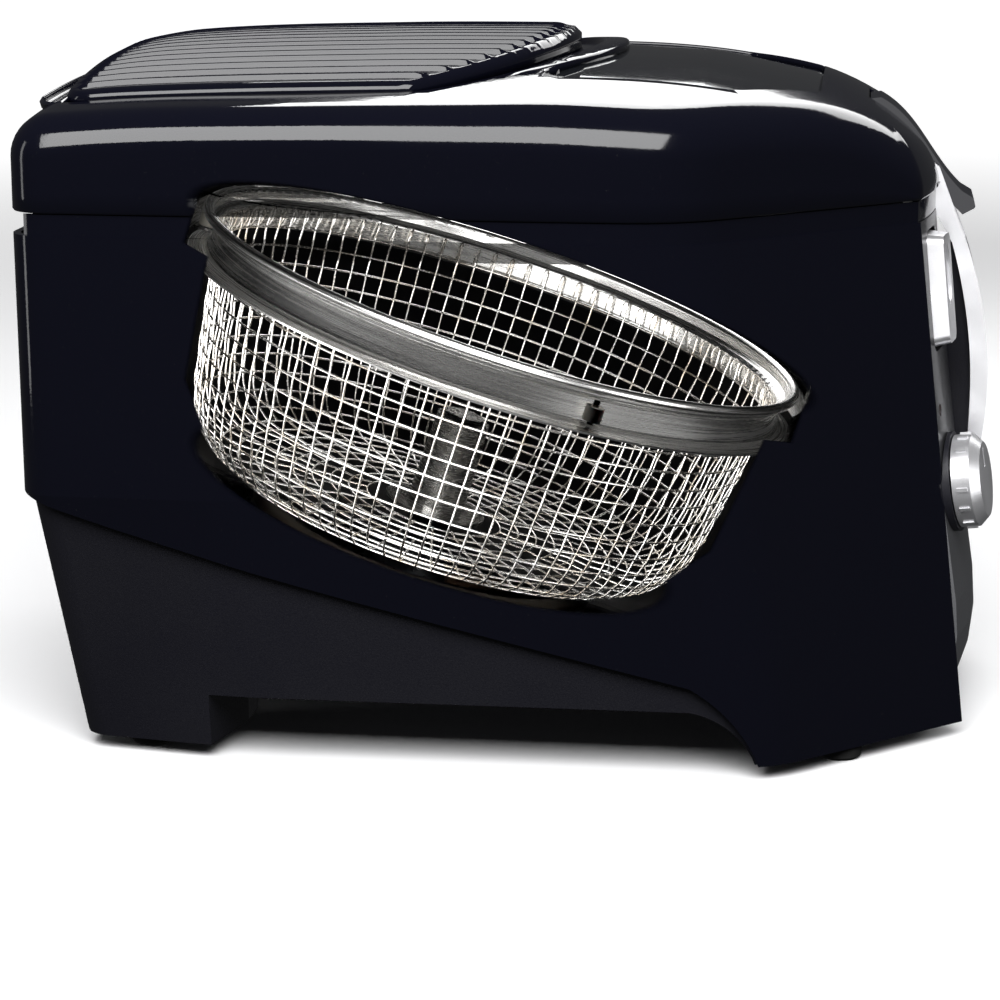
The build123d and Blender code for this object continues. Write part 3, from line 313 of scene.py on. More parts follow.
def wire_steel():
    """Drawn stainless wire, slightly stained by heat between the crossings."""
    n = Nodes("wire_steel")
    stain = n.noise(55.0, 4.0, 0.65)
    draw = n.noise(700.0, 2.0, 0.6)
    colour = n.blend(n.span(stain, 0.0, 1.0, 0.42, 0.68), (0.74, 0.73, 0.71), (0.52, 0.46, 0.38))
    shader = n.principled(Base_Color=colour, Metallic=1.0, Roughness=n.span(draw, 0.16, 0.30, 0.3, 0.7),
                          Normal=n.bump(draw, 0.06, 0.0002))
    return n.finish(shader)


def nonstick(see_through):
    """Speckled black non-stick coat on the bowl."""
    n = Nodes("nonstick_near" if see_through else "nonstick")
    speck = n.span(n.noise(800.0, 2.0, 0.8), 0.0, 1.0, 0.68, 0.76)
    colour = n.blend(speck, (0.0025, 0.0025, 0.004), (0.010, 0.010, 0.011))
    shader = n.principled(Base_Color=colour, Roughness=n.span(n.noise(30.0), 0.42, 0.6, 0.3, 0.7),
                          Specular_IOR_Level=0.12, Normal=n.bump(speck, 0.08, 0.0002))
    return n.finish(shader, see_through)


def smoked_glass():
    """Dark tinted window with faint cleaning streaks."""
    n = Nodes("smoked_glass")
    streak = n.noise(6.0, 5.0, 0.6, n.scaled((6.0, 1.0, 1.0)))
    shader = n.principled(Base_Color=(0.010, 0.011, 0.013), Roughness=n.span(streak, 0.03, 0.10, 0.4, 0.7),
                          IOR=1.52, Coat_Weight=0.6, Coat_Roughness=0.03, Transmission_Weight=0.15,
                          Normal=n.bump(streak, 0.03, 0.0003))
    return n.finish(shader)


def rubbery(name, colour, see_through=False):
    """Soft moulded rubber or silicone with a dry bloom."""
    n = Nodes(name)
    bloom = n.noise(90.0, 4.0, 0.6)
    lighter = tuple(c * 1.9 + 0.006 for c in colour)
    shader = n.principled(Base_Color=n.blend(bloom, colour, lighter),
                          Roughness=n.span(bloom, 0.6, 0.85, 0.3, 0.7),
                          Specular_IOR_Level=0.25, Normal=n.bump(n.noise(900.0), 0.15, 0.0003))
    return n.finish(shader, see_through)


def plated(name, colour, rough=0.3):
    """Zinc, steel or brass hardware with a mottled plating."""
    n = Nodes(name)
    mottle = n.noise(240.0, 4.0, 0.7)
    darker = tuple(c * 0.7 for c in colour)
    shader = n.principled(Base_Color=n.blend(mottle, darker, colour), Metallic=1.0,
                          Roughness=n.span(mottle, rough - 0.08, rough + 0.12, 0.3, 0.7),
                          Normal=n.bump(mottle, 0.1, 0.0002))
    return n.finish(shader)


def moulded(name, colour):
    """Plain engineering plastic or glazed ceramic."""
    n = Nodes(name)
    cloud = n.noise(50.0, 3.0, 0.6)
    darker = tuple(c * 0.82 for c in colour)
    shader = n.principled(Base_Color=n.blend(cloud, darker, colour),
                          Roughness=n.span(cloud, 0.38, 0.55, 0.3, 0.7),
                          Subsurface_Weight=0.02, Normal=n.bump(n.noise(800.0), 0.1, 0.0003))
    return n.finish(shader)


def felt(name, dark, light):
    """Open filter mat: matted fibres."""
    n = Nodes(name)
    fibre = n.noise(900.0, 6.0, 0.8, n.scaled((1.0, 0.35, 1.0)))
    pores = n.add("ShaderNodeTexVoronoi")
    n.link(n.place, pores.inputs["Vector"])
    pores.inputs["Scale"].default_value = 700.0
    colour = n.blend(fibre, dark, light)
    shader = n.principled(Base_Color=colour, Roughness=0.95, Sheen_Weight=0.3,
                          Normal=n.bump(pores.outputs["Distance"], 0.6, 0.0006))
    return n.finish(shader)


def amber_lens():
    """Amber indicator lens."""
    n = Nodes("amber_lens")
    glow = n.noise(300.0, 3.0, 0.6)
    colour = n.blend(glow, (0.45, 0.10, 0.01), (0.75, 0.24, 0.03))
    shader = n.principled(Base_Color=colour, Roughness=n.span(glow, 0.08, 0.2, 0.3, 0.7), Coat_Weight=0.5,
                          Transmission_Weight=0.3)
    return n.finish(shader)


# ---- Mesh helpers -----------------------------------------------------------------------------
def new_mesh(name, verts, faces, body, material, smooth_angle):
    """A smooth-shaded mesh piece from points in millimetres."""
    mesh = bpy.data.meshes.new(name)
    mesh.from_pydata([Vector(v) * MM for v in verts], [], faces)
    mesh.validate()
    bm = bmesh.new()
    bm.from_mesh(mesh)
    bmesh.ops.remove_doubles(bm, verts=bm.verts, dist=0.00002)
    bmesh.ops.recalc_face_normals(bm, faces=bm.faces)
    for edge in bm.edges:
        if len(edge.link_faces) == 2:
            edge.smooth = edge.calc_face_angle(0.0) < math.radians(smooth_angle)
    for face in bm.faces:
        face.smooth = True
    bm.to_mesh(mesh)
    bm.free()
    piece = bpy.data.objects.new(name, mesh)
    bpy.context.scene.collection.objects.link(piece)
    return dress(piece, body, material)


def dress(piece, body, material):
    """Gives a piece its material and body."""
    piece.data.materials.clear()
    piece.data.materials.append(material)
    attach(piece, body)
    return piece


def between(line, y, column):
    """A value of a line of (y, ...) stations, smoothly interpolated."""
    line = sorted(line)
    y = min(max(y, line[0][0]), line[-1][0])
    for i in range(len(line) - 1):
        if y <= line[i + 1][0]:
            break
    before, after = line[max(i - 1, 0)], line[min(i + 2, len(line) - 1)]
    a, b = line[i], line[i + 1]
    width = b[0] - a[0]
    t = (y - a[0]) / width
    slope_a = (b[column] - before[column]) / (b[0] - before[0]) * width
    slope_b = (after[column] - a[column]) / (after[0] - a[0]) * width
    return ((2 * t ** 3 - 3 * t ** 2 + 1) * a[column] + (t ** 3 - 2 * t ** 2 + t) * slope_a
            + (-2 * t ** 3 + 3 * t ** 2) * b[column] + (t ** 3 - t ** 2) * slope_b)


def crown(x, y):
    """Height of the lid's crown."""
    middle, edge = between(CROWN_LINE, y, 1), between(CROWN_LINE, y, 2)
    return middle - (middle - edge) * (x / CROWN_HALF) ** 2


def cover_top(x, y):
    """Height of the filter cover's dome."""
    middle, edge = between(COVER_LINE, y, 1), between(COVER_LINE, y, 2)
    return middle - (middle - edge) * (x / COVER_HALF) ** 2


def arc_through(a, b, c, steps):
    """Points of the circle arc from a through b to c."""
    (ax, ay), (bx, by), (cx, cy) = a, b, c
    d = 2 * (ax * (by - cy) + bx * (cy - ay) + cx * (ay - by))
    a2, b2, c2 = ax * ax + ay * ay, bx * bx + by * by, cx * cx + cy * cy
    ux = (a2 * (by - cy) + b2 * (cy - ay) + c2 * (ay - by)) / d
    uy = (a2 * (cx - bx) + b2 * (ax - cx) + c2 * (bx - ax)) / d
    start, end = math.atan2(ay - uy, ax - ux), math.atan2(cy - uy, cx - ux)
    middle = math.atan2(by - uy, bx - ux)
    turn = (end - start) % math.tau
    if (middle - start) % math.tau > turn:
        turn -= math.tau
    radius = math.hypot(ax - ux, ay - uy)
    angles = [start + turn * i / steps for i in range(steps + 1)]
    return [(ux + radius * math.cos(angle), uy + radius * math.sin(angle)) for angle in angles]


def rounded(points, radii, step=4.0):
    """A closed outline with its corners rounded and its straight runs divided."""
    out = []
    count = len(points)
    for i, radius in enumerate(radii):
        p, before, after = Vector(points[i]), Vector(points[i - 1]), Vector(points[(i + 1) % count])
        if not radius:
            out.append(p)
            continue
        a, b = (before - p).normalized(), (after - p).normalized()
        half = a.angle(b) / 2
        reach = radius / math.tan(half)
        centre = p + (a + b).normalized() * (radius / math.sin(half))
        start, end = p + a * reach, p + b * reach
        turn = math.pi - 2 * half
        steps = max(3, int(turn * radius / step), int(turn / 0.12))
        first = start - centre
        sign = 1.0 if first.x * (end - centre).y - first.y * (end - centre).x > 0 else -1.0
        for k in range(steps + 1):
            angle = sign * turn * k / steps
            c, s = math.cos(angle), math.sin(angle)
            out.append(centre + Vector((first.x * c - first.y * s, first.x * s + first.y * c)))
    divided = []
    for i, p in enumerate(out):
        q = out[(i + 1) % len(out)]
        steps = max(1, int((q - p).length / step))
        divided += [p.lerp(q, k / steps) for k in range(steps)]
    return [(p.x, p.y) for p in divided]


def inward(points, distance):
    """The outline moved in by a distance along its own normals."""
    out = []
    count = len(points)
    area = sum(points[i][0] * points[(i + 1) % count][1] - points[(i + 1) % count][0] * points[i][1]
               for i in range(count))
    side = 1.0 if area > 0 else -1.0
    for i in range(count):
        before, here, after = (Vector(points[j % count]) for j in (i - 1, i, i + 1))
        a, b = (here - before).normalized(), (after - here).normalized()
        normal = Vector((-(a + b).y, (a + b).x)).normalized() * side
        stretch = 1.0 / max(0.5, normal.dot(Vector((-a.y, a.x)) * side))
        moved = here + normal * distance * stretch
        out.append((moved.x, moved.y))
    return out


def body_outline():
    """Plan of the lid and rim, counter-clockwise from the rear."""
    right = [(-x, y) for x, y in reversed(CORNERS)]
    x, y = CORNERS[-1]
    nose = arc_through((x, y), (0, NOSE), (-x, y), NOSE_STEPS)[1:-1]
    radii = list(CORNER_RADII) + [0] * (len(nose) + 2) + list(reversed(CORNER_RADII))
    return rounded(CORNERS + nose + right, radii)


def cover_outline(grow=0.0):
    """Plan of the filter cover: a rectangle with a bowed front."""
    bow = arc_through((-COVER_HALF, COVER_SIDE), (0, COVER_NOSE), (COVER_HALF, COVER_SIDE), COVER_STEPS)
    points = [(COVER_HALF, COVER_REAR), (-COVER_HALF, COVER_REAR)] + bow
    radii = [COVER_CORNER, COVER_CORNER, COVER_CORNER] + [0] * (len(bow) - 2) + [COVER_CORNER]
    outline = rounded(points, radii)
    return inward(outline, -grow) if grow else outline


def window_outline():
    """Plan of the window: a bowed rear edge and two cut corners at the front."""
    half, front, cut = WINDOW_HALF, WINDOW_FRONT, WINDOW_CHAMFER
    rear_side, rear_mid = COVER_SIDE - cut, COVER_NOSE - WINDOW_GAP
    bow = arc_through((half, rear_side), (0, rear_mid), (-half, rear_side), WINDOW_STEPS)
    points = bow + [(-half, front + cut), (-half + cut, front), (half - cut, front), (half, front + cut)]
    radii = [WINDOW_CORNER] + [0] * (len(bow) - 2) + [WINDOW_CORNER] * 5
    return rounded(points, radii)


def loop_faces(rings):
    """Quads between rings of points with equal counts."""
    faces = []
    for level in range(len(rings) - 1):
        count = len(rings[level])
        base, top = sum(map(len, rings[:level])), sum(map(len, rings[:level + 1]))
        for i in range(count):
            j = (i + 1) % count
            faces.append((base + i, base + j, top + j, top + i))
    return faces


# ---- Lid --------------------------------------------------------------------------------------
SHOULDER_STEPS = 9
GRID, GRID_CLEAR = 4.5, 2.6  # spacing of the points on the lid's top, and their least distance to an edge
LID_SHEET, COVER_SHEET = 0.0016, 0.0012  # thickness in metres
# (inset, depth) stations of the walls that go down from the two openings.
RECESS_WALL = [(0.0, 0.0), (0.35, 0.25), (0.8, 1.2), (1.1, 2.7), (1.6, RECESS), (17.0, RECESS),
               (17.0, RECESS + 2.6)]
WINDOW_WALL = [(0.0, 0.0), (0.4, 0.3), (0.7, 1.0), (0.9, 3.2)]


def shoulder_radius(x, y):
    return min(SHOULDER, max(1.5, (crown(x, y) - LID_Z) * 0.8))


def lid_skin(material):
    """Crowned lid with a rounded shoulder, a recess round the cover and the window opening."""
    outline = body_outline()
    rings, verts = [], []

    def ring(points, heights):
        rings.append(points)
        verts.extend((x, y, z) for (x, y), z in zip(points, heights))

    radii = [shoulder_radius(x, y) for x, y in outline]
    tops = [crown(*p) for p in outline]
    lip = inward(outline, LID_WALL)
    ring(lip, [LID_Z + 6] * len(outline))
    ring(lip, [LID_Z] * len(outline))
    ring(inward(outline, 0.6), [LID_Z] * len(outline))
    ring(outline, [LID_Z + 0.8] * len(outline))
    for share in (0.35, 0.7):
        ring(outline, [LID_Z + (t - r - LID_Z) * share for t, r in zip(tops, radii)])
    unit = inward(outline, 1.0)
    for k in range(SHOULDER_STEPS + 1):
        angle = math.pi / 2 * k / SHOULDER_STEPS
        points, heights = [], []
        for p, q, r in zip(outline, unit, radii):
            inset = r * (1 - math.cos(angle))
            x, y = p[0] + (q[0] - p[0]) * inset, p[1] + (q[1] - p[1]) * inset
            points.append((x, y))
            heights.append(crown(x, y) - r * (1 - math.sin(angle)))
        ring(points, heights)
    faces = loop_faces(rings)
    edge = rings[-1]

    recess = cover_outline(COLLAR)
    window = window_outline()
    flat = list(edge) + list(recess) + list(window)
    loops, start = [], 0
    for loop in (edge, recess, window):
        loops.append([(start + i, start + (i + 1) % len(loop)) for i in range(len(loop))])
        start += len(loop)
    grid = [(x * GRID, y * GRID) for x in range(-34, 35) for y in range(-38, 43)]

    def inside(point, loop):
        x, y = point
        hit = False
        for i in range(len(loop)):
            (x1, y1), (x2, y2) = loop[i], loop[(i + 1) % len(loop)]
            if (y1 > y) != (y2 > y) and x < (x2 - x1) * (y - y1) / (y2 - y1) + x1:
                hit = not hit
        return hit

    def clear(point, loop, margin):
        return all((point[0] - x) ** 2 + (point[1] - y) ** 2 > margin ** 2 for x, y in loop)

    kept = [p for p in grid if inside(p, edge) and not inside(p, recess) and not inside(p, window)
            and all(clear(p, loop, GRID_CLEAR) for loop in (edge, recess, window))]
    points = [Vector(p) for p in flat + kept]
    result = delaunay_2d_cdt(points, [e for loop in loops for e in loop], [], 0, 0.0001)
    base = len(verts)
    verts.extend((p.x, p.y, crown(p.x, p.y)) for p in result[0])
    for face in result[2]:
        centre = sum((result[0][i] for i in face), Vector((0, 0))) / len(face)
        if inside(centre, edge) and not inside(centre, recess) and not inside(centre, window):
            faces.append(tuple(base + i for i in face))

    for loop, wall in ((recess, RECESS_WALL), (window, WINDOW_WALL)):
        first = len(verts)
        rows = [inward(loop, inset) for inset, _ in wall]
        for moved, (_, depth) in zip(rows, wall):
            verts.extend((x, y, crown(x, y) - depth) for x, y in moved)
        faces.extend(tuple(first + i for i in face) for face in loop_faces(rows))
    lid = new_mesh("lid_skin", verts, faces, "lid", material, 40.0)
    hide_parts("lid_shell")
    cut_notch(lid, NOTCH_HALF, NOTCH_Y)
    add_wall(lid, LID_SHEET)


def add_wall(piece, thickness):
    """Gives a skin its thickness, inwards."""
    wall = piece.modifiers.new("wall", "SOLIDIFY")
    wall.thickness = thickness
    wall.offset = -1.0


def cut_notch(lid, x, y1):
    """Removes the faces of the nose between -x and x in front of y1."""
    bm = bmesh.new()
    bm.from_mesh(lid.data)
    for normal, spot in (((1, 0, 0), (-x, 0, 0)), ((1, 0, 0), (x, 0, 0)), ((0, 1, 0), (0, y1, 0))):
        bmesh.ops.bisect_plane(bm, geom=bm.verts[:] + bm.edges[:] + bm.faces[:], dist=0.00001,
                               plane_co=Vector(spot) * MM, plane_no=Vector(normal))
    gone = [f for f in bm.faces
            if abs(f.calc_center_median().x) < x * MM and f.calc_center_median().y < y1 * MM]
    bmesh.ops.delete(bm, geom=gone, context="FACES")
    bm.to_mesh(lid.data)
    bm.free()


def filter_cover_skin(material):
    """Domed louvre cover: fine raised ribs that run front to back."""
    outline = cover_outline()
    pitch, rib_half, rib_height = 8.4, 0.9, 1.5
    rib_foot, groove = 2.2, 0.9
    border = 7.0
    offsets = []
    count = int((COVER_HALF - border) / pitch)
    for k in range(-count, count + 1):
        centre = k * pitch
        offsets += [centre - rib_foot, centre - rib_half, centre - rib_half * 0.45, centre,
                    centre + rib_half * 0.45, centre + rib_half, centre + rib_foot]
    edge_steps = [COVER_HALF - d for d in (0.0, 0.25, 0.9, 1.9, 3.2, 5.0)]
    offsets += edge_steps + [-e for e in edge_steps]
    offsets = sorted(set(round(o, 3) for o in offsets))

    def span_at(x):
        """Rear and front ends of the outline at x."""
        hits = []
        for i in range(len(outline)):
            (x1, y1), (x2, y2) = outline[i], outline[(i + 1) % len(outline)]
            if (x1 - x) * (x2 - x) <= 0 and x1 != x2:
                hits.append(y1 + (y2 - y1) * (x - x1) / (x2 - x1))
        return (max(hits), min(hits)) if hits else (COVER_REAR - COVER_CORNER, COVER_SIDE + COVER_CORNER)

    rows = 46
    verts, faces = [], []
    round_edge = 3.2
    for x in offsets:
        inner = min(abs(x), COVER_HALF - 0.05) * (1 if x >= 0 else -1)
        rear, front = span_at(inner)
        side = COVER_HALF - abs(x)
        for r in range(rows + 1):
            share = r / rows
            share = (1 - math.cos(math.pi * share)) / 2 * 0.35 + share * 0.65
            y = front + (rear - front) * share
            distance = min(side, (y - front) * 0.9, rear - y)
            drop = 0.0
            if distance < round_edge:
                drop = round_edge - math.sqrt(max(0.0, round_edge ** 2 - (round_edge - distance) ** 2))
            z = cover_top(x, y) - drop * 0.85
            nearest = round(x / pitch) * pitch
            off = abs(x - nearest)
            if off < rib_foot and abs(nearest) <= count * pitch + 0.1:
                fade = min(1.0, max(0.0, (distance - border + 2.5) / 3.0))
                z += fade * rib_height * max(0.0, 1 - (off / rib_half) ** 2) if off <= rib_half else 0.0
                z -= fade * groove if off > rib_half * 0.99 else 0.0
            elif distance > border:
                z -= groove
            verts.append((x, y, z))
    per = rows + 1
    for c in range(len(offsets) - 1):
        for r in range(rows):
            a = c * per + r
            faces.append((a, a + per, a + per + 1, a + 1))
    rim = ([c * per for c in range(len(offsets))]
           + [(len(offsets) - 1) * per + r for r in range(1, rows + 1)]
           + [c * per + rows for c in range(len(offsets) - 2, -1, -1)] + list(range(rows - 1, 0, -1)))
    first = len(verts)
    for index in rim:
        x, y, _ = verts[index]
        verts.append((x, y, crown(x, y) - RECESS + 0.2))
    for i in range(len(rim)):
        j = (i + 1) % len(rim)
        faces.append((rim[i], rim[j], first + j, first + i))
    cover = new_mesh("filter_cover_skin", verts, faces, "filter_cover", material, 50.0)
    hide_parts("filter_cover")
    add_wall(cover, COVER_SHEET)


# ---- Wire basket ------------------------------------------------------------------------------
def basket_point(angle, radius, height):
    """A point round the tilted axis, in millimetres."""
    x, v = radius * math.cos(angle), radius * math.sin(angle)
    return Vector((x, AXIS_POINT.y + v * math.cos(TILT) - height * math.sin(TILT),
                   AXIS_POINT.z + v * math.sin(TILT) + height * math.cos(TILT)))


def wire_profile():
    """A function from distance down the wall and floor to (radius, height), and the whole distance."""
    corner = [(127.4, 12.0), (127.4, 0.0), (123.2, -28.0), (119.0, -56.0), (115.6, -68.0), (109.5, -77.5),
              (100.5, -82.8), (88.0, -84.0), (70.0, -84.0), (48.0, -84.0), (24.0, -84.0)]
    lengths = [0.0]
    for a, b in zip(corner, corner[1:]):
        lengths.append(lengths[-1] + math.hypot(b[0] - a[0], b[1] - a[1]))

    def at(distance):
        distance = min(max(distance, 0.0), lengths[-1])
        for i in range(len(corner) - 1):
            if distance <= lengths[i + 1]:
                t = (distance - lengths[i]) / (lengths[i + 1] - lengths[i])
                return tuple(corner[i][k] + (corner[i + 1][k] - corner[i][k]) * t for k in (0, 1))
    return at, lengths[-1]


WIRES = 92
WIRE_PITCH = 8.6
WIRE = 0.52  # half thickness of a wire
WEAVE = 0.35  # how far a wire bows over and under
SHORT_BY, SHORTER_BY = 3, 8  # hoops that every second and every odd upright stops before the end
FLOOR_START, FLOOR_BLEND = 92.0, 20.0  # distance at which the weave turns from sideways to upright
HUB_RADIUS, SPARSE_RADIUS = 26, 60  # no hoops inside the first, half the points inside the second
END_JITTER = 0.4


def wire_curve(name, closed_runs, radius, material):
    data = bpy.data.curves.new(name, "CURVE")
    data.dimensions = "3D"
    data.bevel_depth = radius * MM
    data.bevel_resolution = 2
    data.resolution_u = 3
    for points, closed in closed_runs:
        spline = data.splines.new("NURBS")
        spline.points.add(len(points) - 1)
        for slot_point, p in zip(spline.points, points):
            slot_point.co = (*(p * MM), 1.0)
        spline.order_u = 3
        spline.use_cyclic_u = closed
        spline.use_endpoint_u = not closed
    piece = bpy.data.objects.new(name, data)
    bpy.context.scene.collection.objects.link(piece)
    return dress(piece, "basket", material)


def wire_basket(material):
    """Woven bucket: wires down the wall cross hoops at every pitch, over and under."""
    at, total = wire_profile()
    hoops = int(total / WIRE_PITCH)
    uprights, rounds, hooks = [], [], []
    for w in range(WIRES):
        angle = math.tau * w / WIRES
        last = hoops if w % 4 == 0 else (hoops - SHORT_BY if w % 2 == 0 else hoops - SHORTER_BY)
        points = []
        for k in range(0, last * 2 + 1):
            distance = k * WIRE_PITCH / 2
            radius, height = at(distance)
            weave = WEAVE * math.cos(math.pi * (k / 2 + w))
            on_floor = min(1.0, max(0.0, (distance - FLOOR_START) / FLOOR_BLEND))
            points.append(basket_point(angle, radius + weave * (1 - on_floor), height + weave * on_floor))
        uprights.append((points, False))
        jitter = random.uniform(-END_JITTER, END_JITTER)
        tip = math.tau * (w + 0.18) / WIRES
        hooks.append(([basket_point(angle, 127.2, 11.0), basket_point(angle, 126.0, 13.6 + jitter),
                       basket_point(tip, 124.6, 12.4 + jitter), basket_point(tip, 124.4, 8.0 + jitter),
                       basket_point(tip, 125.6, 5.2)], False))
    for h in range(1, hoops + 1):
        radius, height = at(h * WIRE_PITCH)
        if radius < HUB_RADIUS:
            continue
        steps = WIRES if radius > SPARSE_RADIUS else WIRES // 2
        points = [basket_point(math.tau * (s + 0.5) / steps, radius, height) for s in range(steps)]
        rounds.append((points, True))
    wall = wire_curve("basket_uprights", uprights, WIRE, material)
    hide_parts("basket_mesh")
    return [wall, wire_curve("basket_hoops", rounds, WIRE, material),
            wire_curve("basket_wire_ends", hooks, WIRE * 0.8, material)]


# ---- Dressing the CAD nodes ---------------------------------------------------------------------
def dress_nodes(looks):
    """Gives each CAD node its material."""
    for name, material in looks.items():
        node = nodes[name]
        node.data.materials.clear()
        node.data.materials.append(material)


def soften(names, width):
    """Small rounded edges on machined or moulded pieces."""
    for name in names:
        bevel = nodes[name].modifiers.new("edges", "BEVEL")
        bevel.width = width * MM
        bevel.segments = 2
        bevel.limit_method = "ANGLE"
        bevel.angle_limit = math.radians(40)
        bevel.harden_normals = True


# ---- Stage and lights ---------------------------------------------------------------------------
STAGE_FLAT, STAGE_BEND, STAGE_TOP = 3.0, 1.0, 4.5  # floor radius, bend and wall height, in metres
STAGE_SIDES = 96
GLOW, GLOW_RANGE = 0.85, (0.8, 2.6)  # the stage glows from the first radius on, fully from the second


def make_stage():
    """A pale round floor that curves up into a wall on every side, far behind any viewpoint."""
    profile = [(1.0, 0.0), (2.0, 0.0), (STAGE_FLAT, 0.0)]
    for k in range(1, 7):
        angle = math.radians(15 * k)
        profile.append((STAGE_FLAT + STAGE_BEND * math.sin(angle), STAGE_BEND - STAGE_BEND * math.cos(angle)))
    profile.append((STAGE_FLAT + STAGE_BEND, STAGE_TOP))
    sides = STAGE_SIDES
    verts = [(r * math.cos(math.tau * i / sides), r * math.sin(math.tau * i / sides), z)
             for r, z in profile for i in range(sides)]
    faces = [tuple(range(sides))]
    for level in range(len(profile) - 1):
        for i in range(sides):
            j = (i + 1) % sides
            faces.append(tuple(level * sides + k for k in (i, i + sides, j + sides, j)))
    mesh = bpy.data.meshes.new("studio_sweep")
    mesh.from_pydata(verts, [], faces)
    for polygon in mesh.polygons[1:]:
        polygon.use_smooth = True
    sweep = bpy.data.objects.new("studio_sweep", mesh)
    bpy.context.scene.collection.objects.link(sweep)
    n = Nodes("studio_white")
    cloud = n.noise(1.5, 2.0, 0.5)
    split = n.add("ShaderNodeSeparateXYZ")
    n.link(n.place, split.inputs[0])
    far = n.math("SQRT", n.math("MULTIPLY_ADD", split.outputs[0], split.outputs[0],
                                n.math("MULTIPLY", split.outputs[1], split.outputs[1])))
    shader = n.principled(Base_Color=n.blend(cloud, (0.86, 0.86, 0.87), (0.90, 0.90, 0.905)),
                          Roughness=0.35, Specular_IOR_Level=0.25, Emission_Color=(1.0, 1.0, 1.0),
                          Emission_Strength=n.span(far, 0.0, GLOW, *GLOW_RANGE, smooth=True))
    mesh.materials.append(n.finish(shader))
    sweep.visible_glossy = False
    sweep.visible_diffuse = False


def area_light(name, spot, target, size, power):
    """A rectangular lamp that the camera doesn't see. Places and sizes are in metres, power in watts."""
    data = bpy.data.lights.new(name, "AREA")
    data.shape = "RECTANGLE"
    data.size, data.size_y = size
    data.energy = power
    lamp = bpy.data.objects.new(name, data)
    lamp.location = spot
    direction = Vector(spot) - Vector(target)
    lamp.rotation_euler = direction.to_track_quat("Z", "Y").to_euler()
    lamp.visible_camera = False
    bpy.context.scene.collection.objects.link(lamp)
    return lamp


def only_for(lamp, pieces):
    """The lamp lights these pieces alone, and only they shade each other from it."""
    group = bpy.data.collections.new(lamp.name + "_pieces")
    for piece in pieces:
        group.objects.link(piece)
    lamp.light_linking.receiver_collection = group
    lamp.light_linking.blocker_collection = group


BASKET_AIM = (0.0, 0.02, 0.14)


def make_lights(basket, controls):
    world = bpy.data.worlds.new("studio")
    world.use_nodes = True
    background = world.node_tree.nodes["Background"]
    background.inputs["Color"].default_value = (0.95, 0.96, 1.0, 1.0)
    background.inputs["Strength"].default_value = 0.05
    bpy.context.scene.world = world
    # Broad overhead light for the floor, not seen in the gloss.
    wash = area_light("floor_wash", (-0.4, 0.0, 2.4), (0.1, 0.0, 0.0), (3.2, 3.2), 46)
    wash.visible_glossy = False
    # Each lamp: name, place, aim, size, power, and the pieces that it is for, or None for everything.
    for name, spot, aim, size, power, pieces in (
            # Softbox high at the near side: the white band along the lid's shoulder.
            ("shoulder_box", (-1.15, -0.02, 1.25), (-0.1, 0.0, 0.25), (1.7, 1.0), 48, None),
            # Overhead box that the lid's top mirrors.
            ("top_box", (0.9, -0.25, 0.85), (0.0, -0.05, 0.28), (1.3, 0.4), 8.0, None),
            # Boxes for the silver controls and the handle.
            ("front_box", (-0.70, -1.35, 0.35), (-0.03, -0.19, 0.16), (0.9, 1.1), 8.0, controls),
            ("side_box", (-1.3, -0.35, 0.10), (-0.03, -0.19, 0.14), (0.7, 0.7), 3.5, controls),
            # Narrow rear strip that edges the rear corner.
            ("rear_strip", (-0.35, 1.3, 0.35), (-0.15, 0.19, 0.15), (0.15, 0.9), 1.2, None),
            # Cards for the basket alone: from the viewpoint's side, from low in front of it, from both ends
            # and from the far side.
            ("basket_key", (-0.9, -0.15, 0.62), BASKET_AIM, (0.6, 0.5), 4.0, basket),
            ("basket_low", (-0.85, 0.10, -0.02), BASKET_AIM, (0.9, 0.45), 10.0, basket),
            ("basket_rear", (-0.45, 0.80, -0.02), BASKET_AIM, (0.6, 0.5), 6.0, basket),
            ("basket_front", (-0.50, -0.85, -0.02), BASKET_AIM, (0.5, 0.5), 5.0, basket),
            ("basket_far", (0.75, 0.10, 0.55), BASKET_AIM, (0.6, 0.3), 3.0, basket)):
        lamp = area_light(name, spot, aim, size, power)
        if pieces:
            only_for(lamp, pieces)


# ---- Make everything ----------------------------------------------------------------------------
make_camera()

black = gloss_black()
black_near = gloss_black("gloss_black_near", see_through=True)
matte = matte_black()
matte_near = matte_black("matte_black_near", see_through=True)
steel = turned_steel("turned_steel")
steel_near = turned_steel("turned_steel_near", see_through=True)
zinc = plated("zinc", (0.55, 0.56, 0.58))
nylon = moulded("nylon", (0.62, 0.60, 0.54))
ceramic = moulded("ceramic", (0.72, 0.70, 0.64))
silver = silver_lacquer()
satin = satin_panel()
bowl_near = nonstick(True)

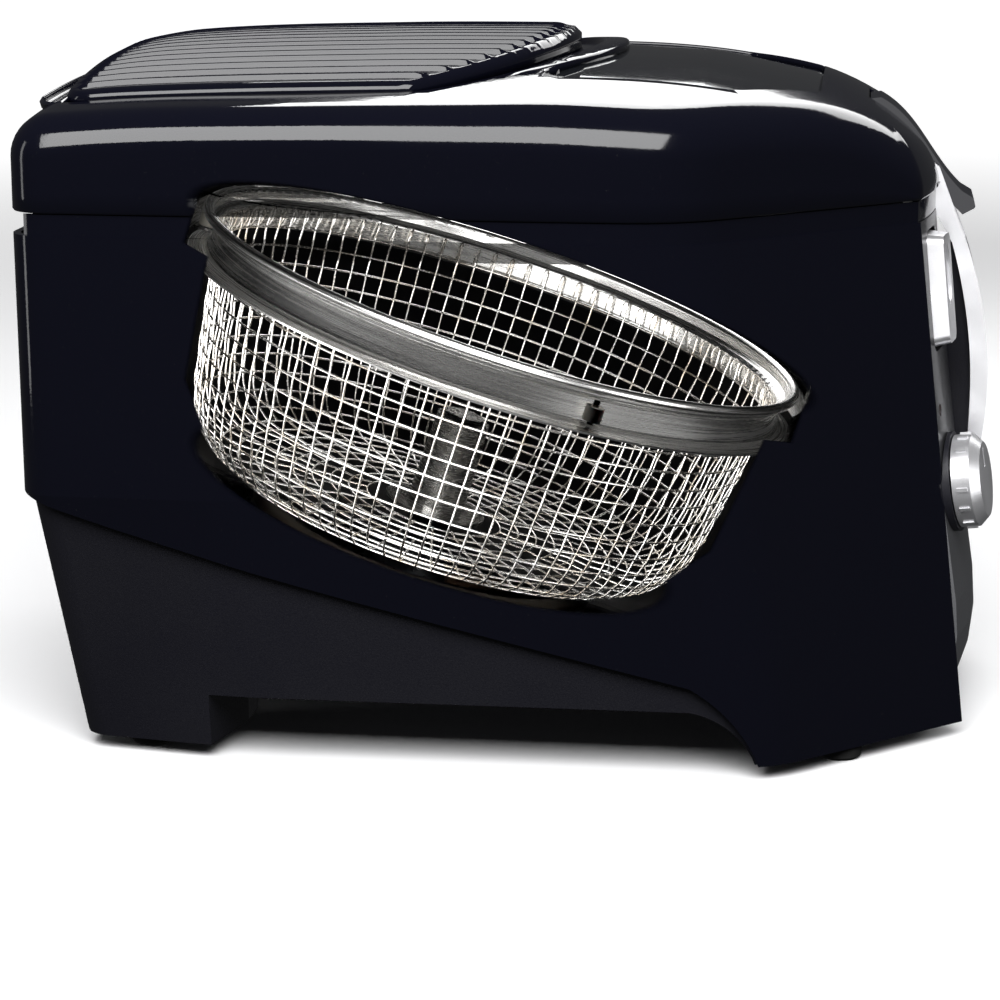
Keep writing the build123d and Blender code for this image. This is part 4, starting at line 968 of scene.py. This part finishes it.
dress_nodes({
    "outer_casing": black_near, "base_tray": matte_near, "base_screws": zinc,
    "rubber_feet": rubbery("rubber", (0.010, 0.010, 0.010)), "front_panel": satin,
    "handle_channel": matte, "drain_door": satin,
    "drain_door_pin": zinc, "drain_pipe": nonstick(False),
    "drain_cap": rubbery("silicone_black", (0.012, 0.012, 0.012)),
    "rim_frame": black_near, "hinge_pins": zinc,
    "bowl": bowl_near, "heating_element": plated("heater_sheath", (0.42, 0.38, 0.33), 0.4),
    "element_terminals": ceramic, "heat_shield": zinc, "spindle_motor": zinc, "motor_screws": zinc,
    "drive_spindle": steel, "knob_bezel": matte, "thermostat_knob": silver_lacquer("silver_knob", 0.70),
    "thermostat": nylon, "thermostat_probe": plated("copper_probe", (0.72, 0.45, 0.30)),
    "thermal_fuse": ceramic, "indicator_lamp": amber_lens(),
    "release_button": silver_lacquer("silver_button", 0.66),
    "button_spring": zinc, "button_guide": matte, "power_inlet": matte, "terminal_block": nylon,
    "lid_liner": matte_near, "lid_window": smoked_glass(),
    "lid_gasket": rubbery("silicone_seal", (0.03, 0.03, 0.03), True), "lid_catch": matte,
    "odour_filter": felt("odour_foam", (0.008, 0.008, 0.008), (0.03, 0.03, 0.03)),
    "grease_filter": felt("grease_felt", (0.55, 0.53, 0.48), (0.80, 0.78, 0.72)),
    "basket_rim": turned_steel("rim_steel", tone=0.78, rough=(0.20, 0.34)),
    "basket_hub": steel, "carrier": steel_near,
    "roller_rear": nylon, "roller_left": nylon, "roller_right": nylon, "roller_axles": steel_near,
    "handle_bracket": black, "handle_pin": zinc, "handle_trim": silver, "handle_grip": matte,
})
soften(("handle_trim", "handle_bracket", "release_button", "thermostat_knob"), 0.5)

lid_skin(black_near)
filter_cover_skin(black)
wires = wire_basket(wire_steel())

make_stage()
make_lights(wires + [nodes["basket_rim"]],
            [nodes[name] for name in ("handle_trim", "thermostat_knob", "release_button", "front_panel",
                                      "drain_door", "indicator_lamp", "knob_bezel", "handle_bracket")])
bpy.context.scene.view_settings.view_transform = "Standard"
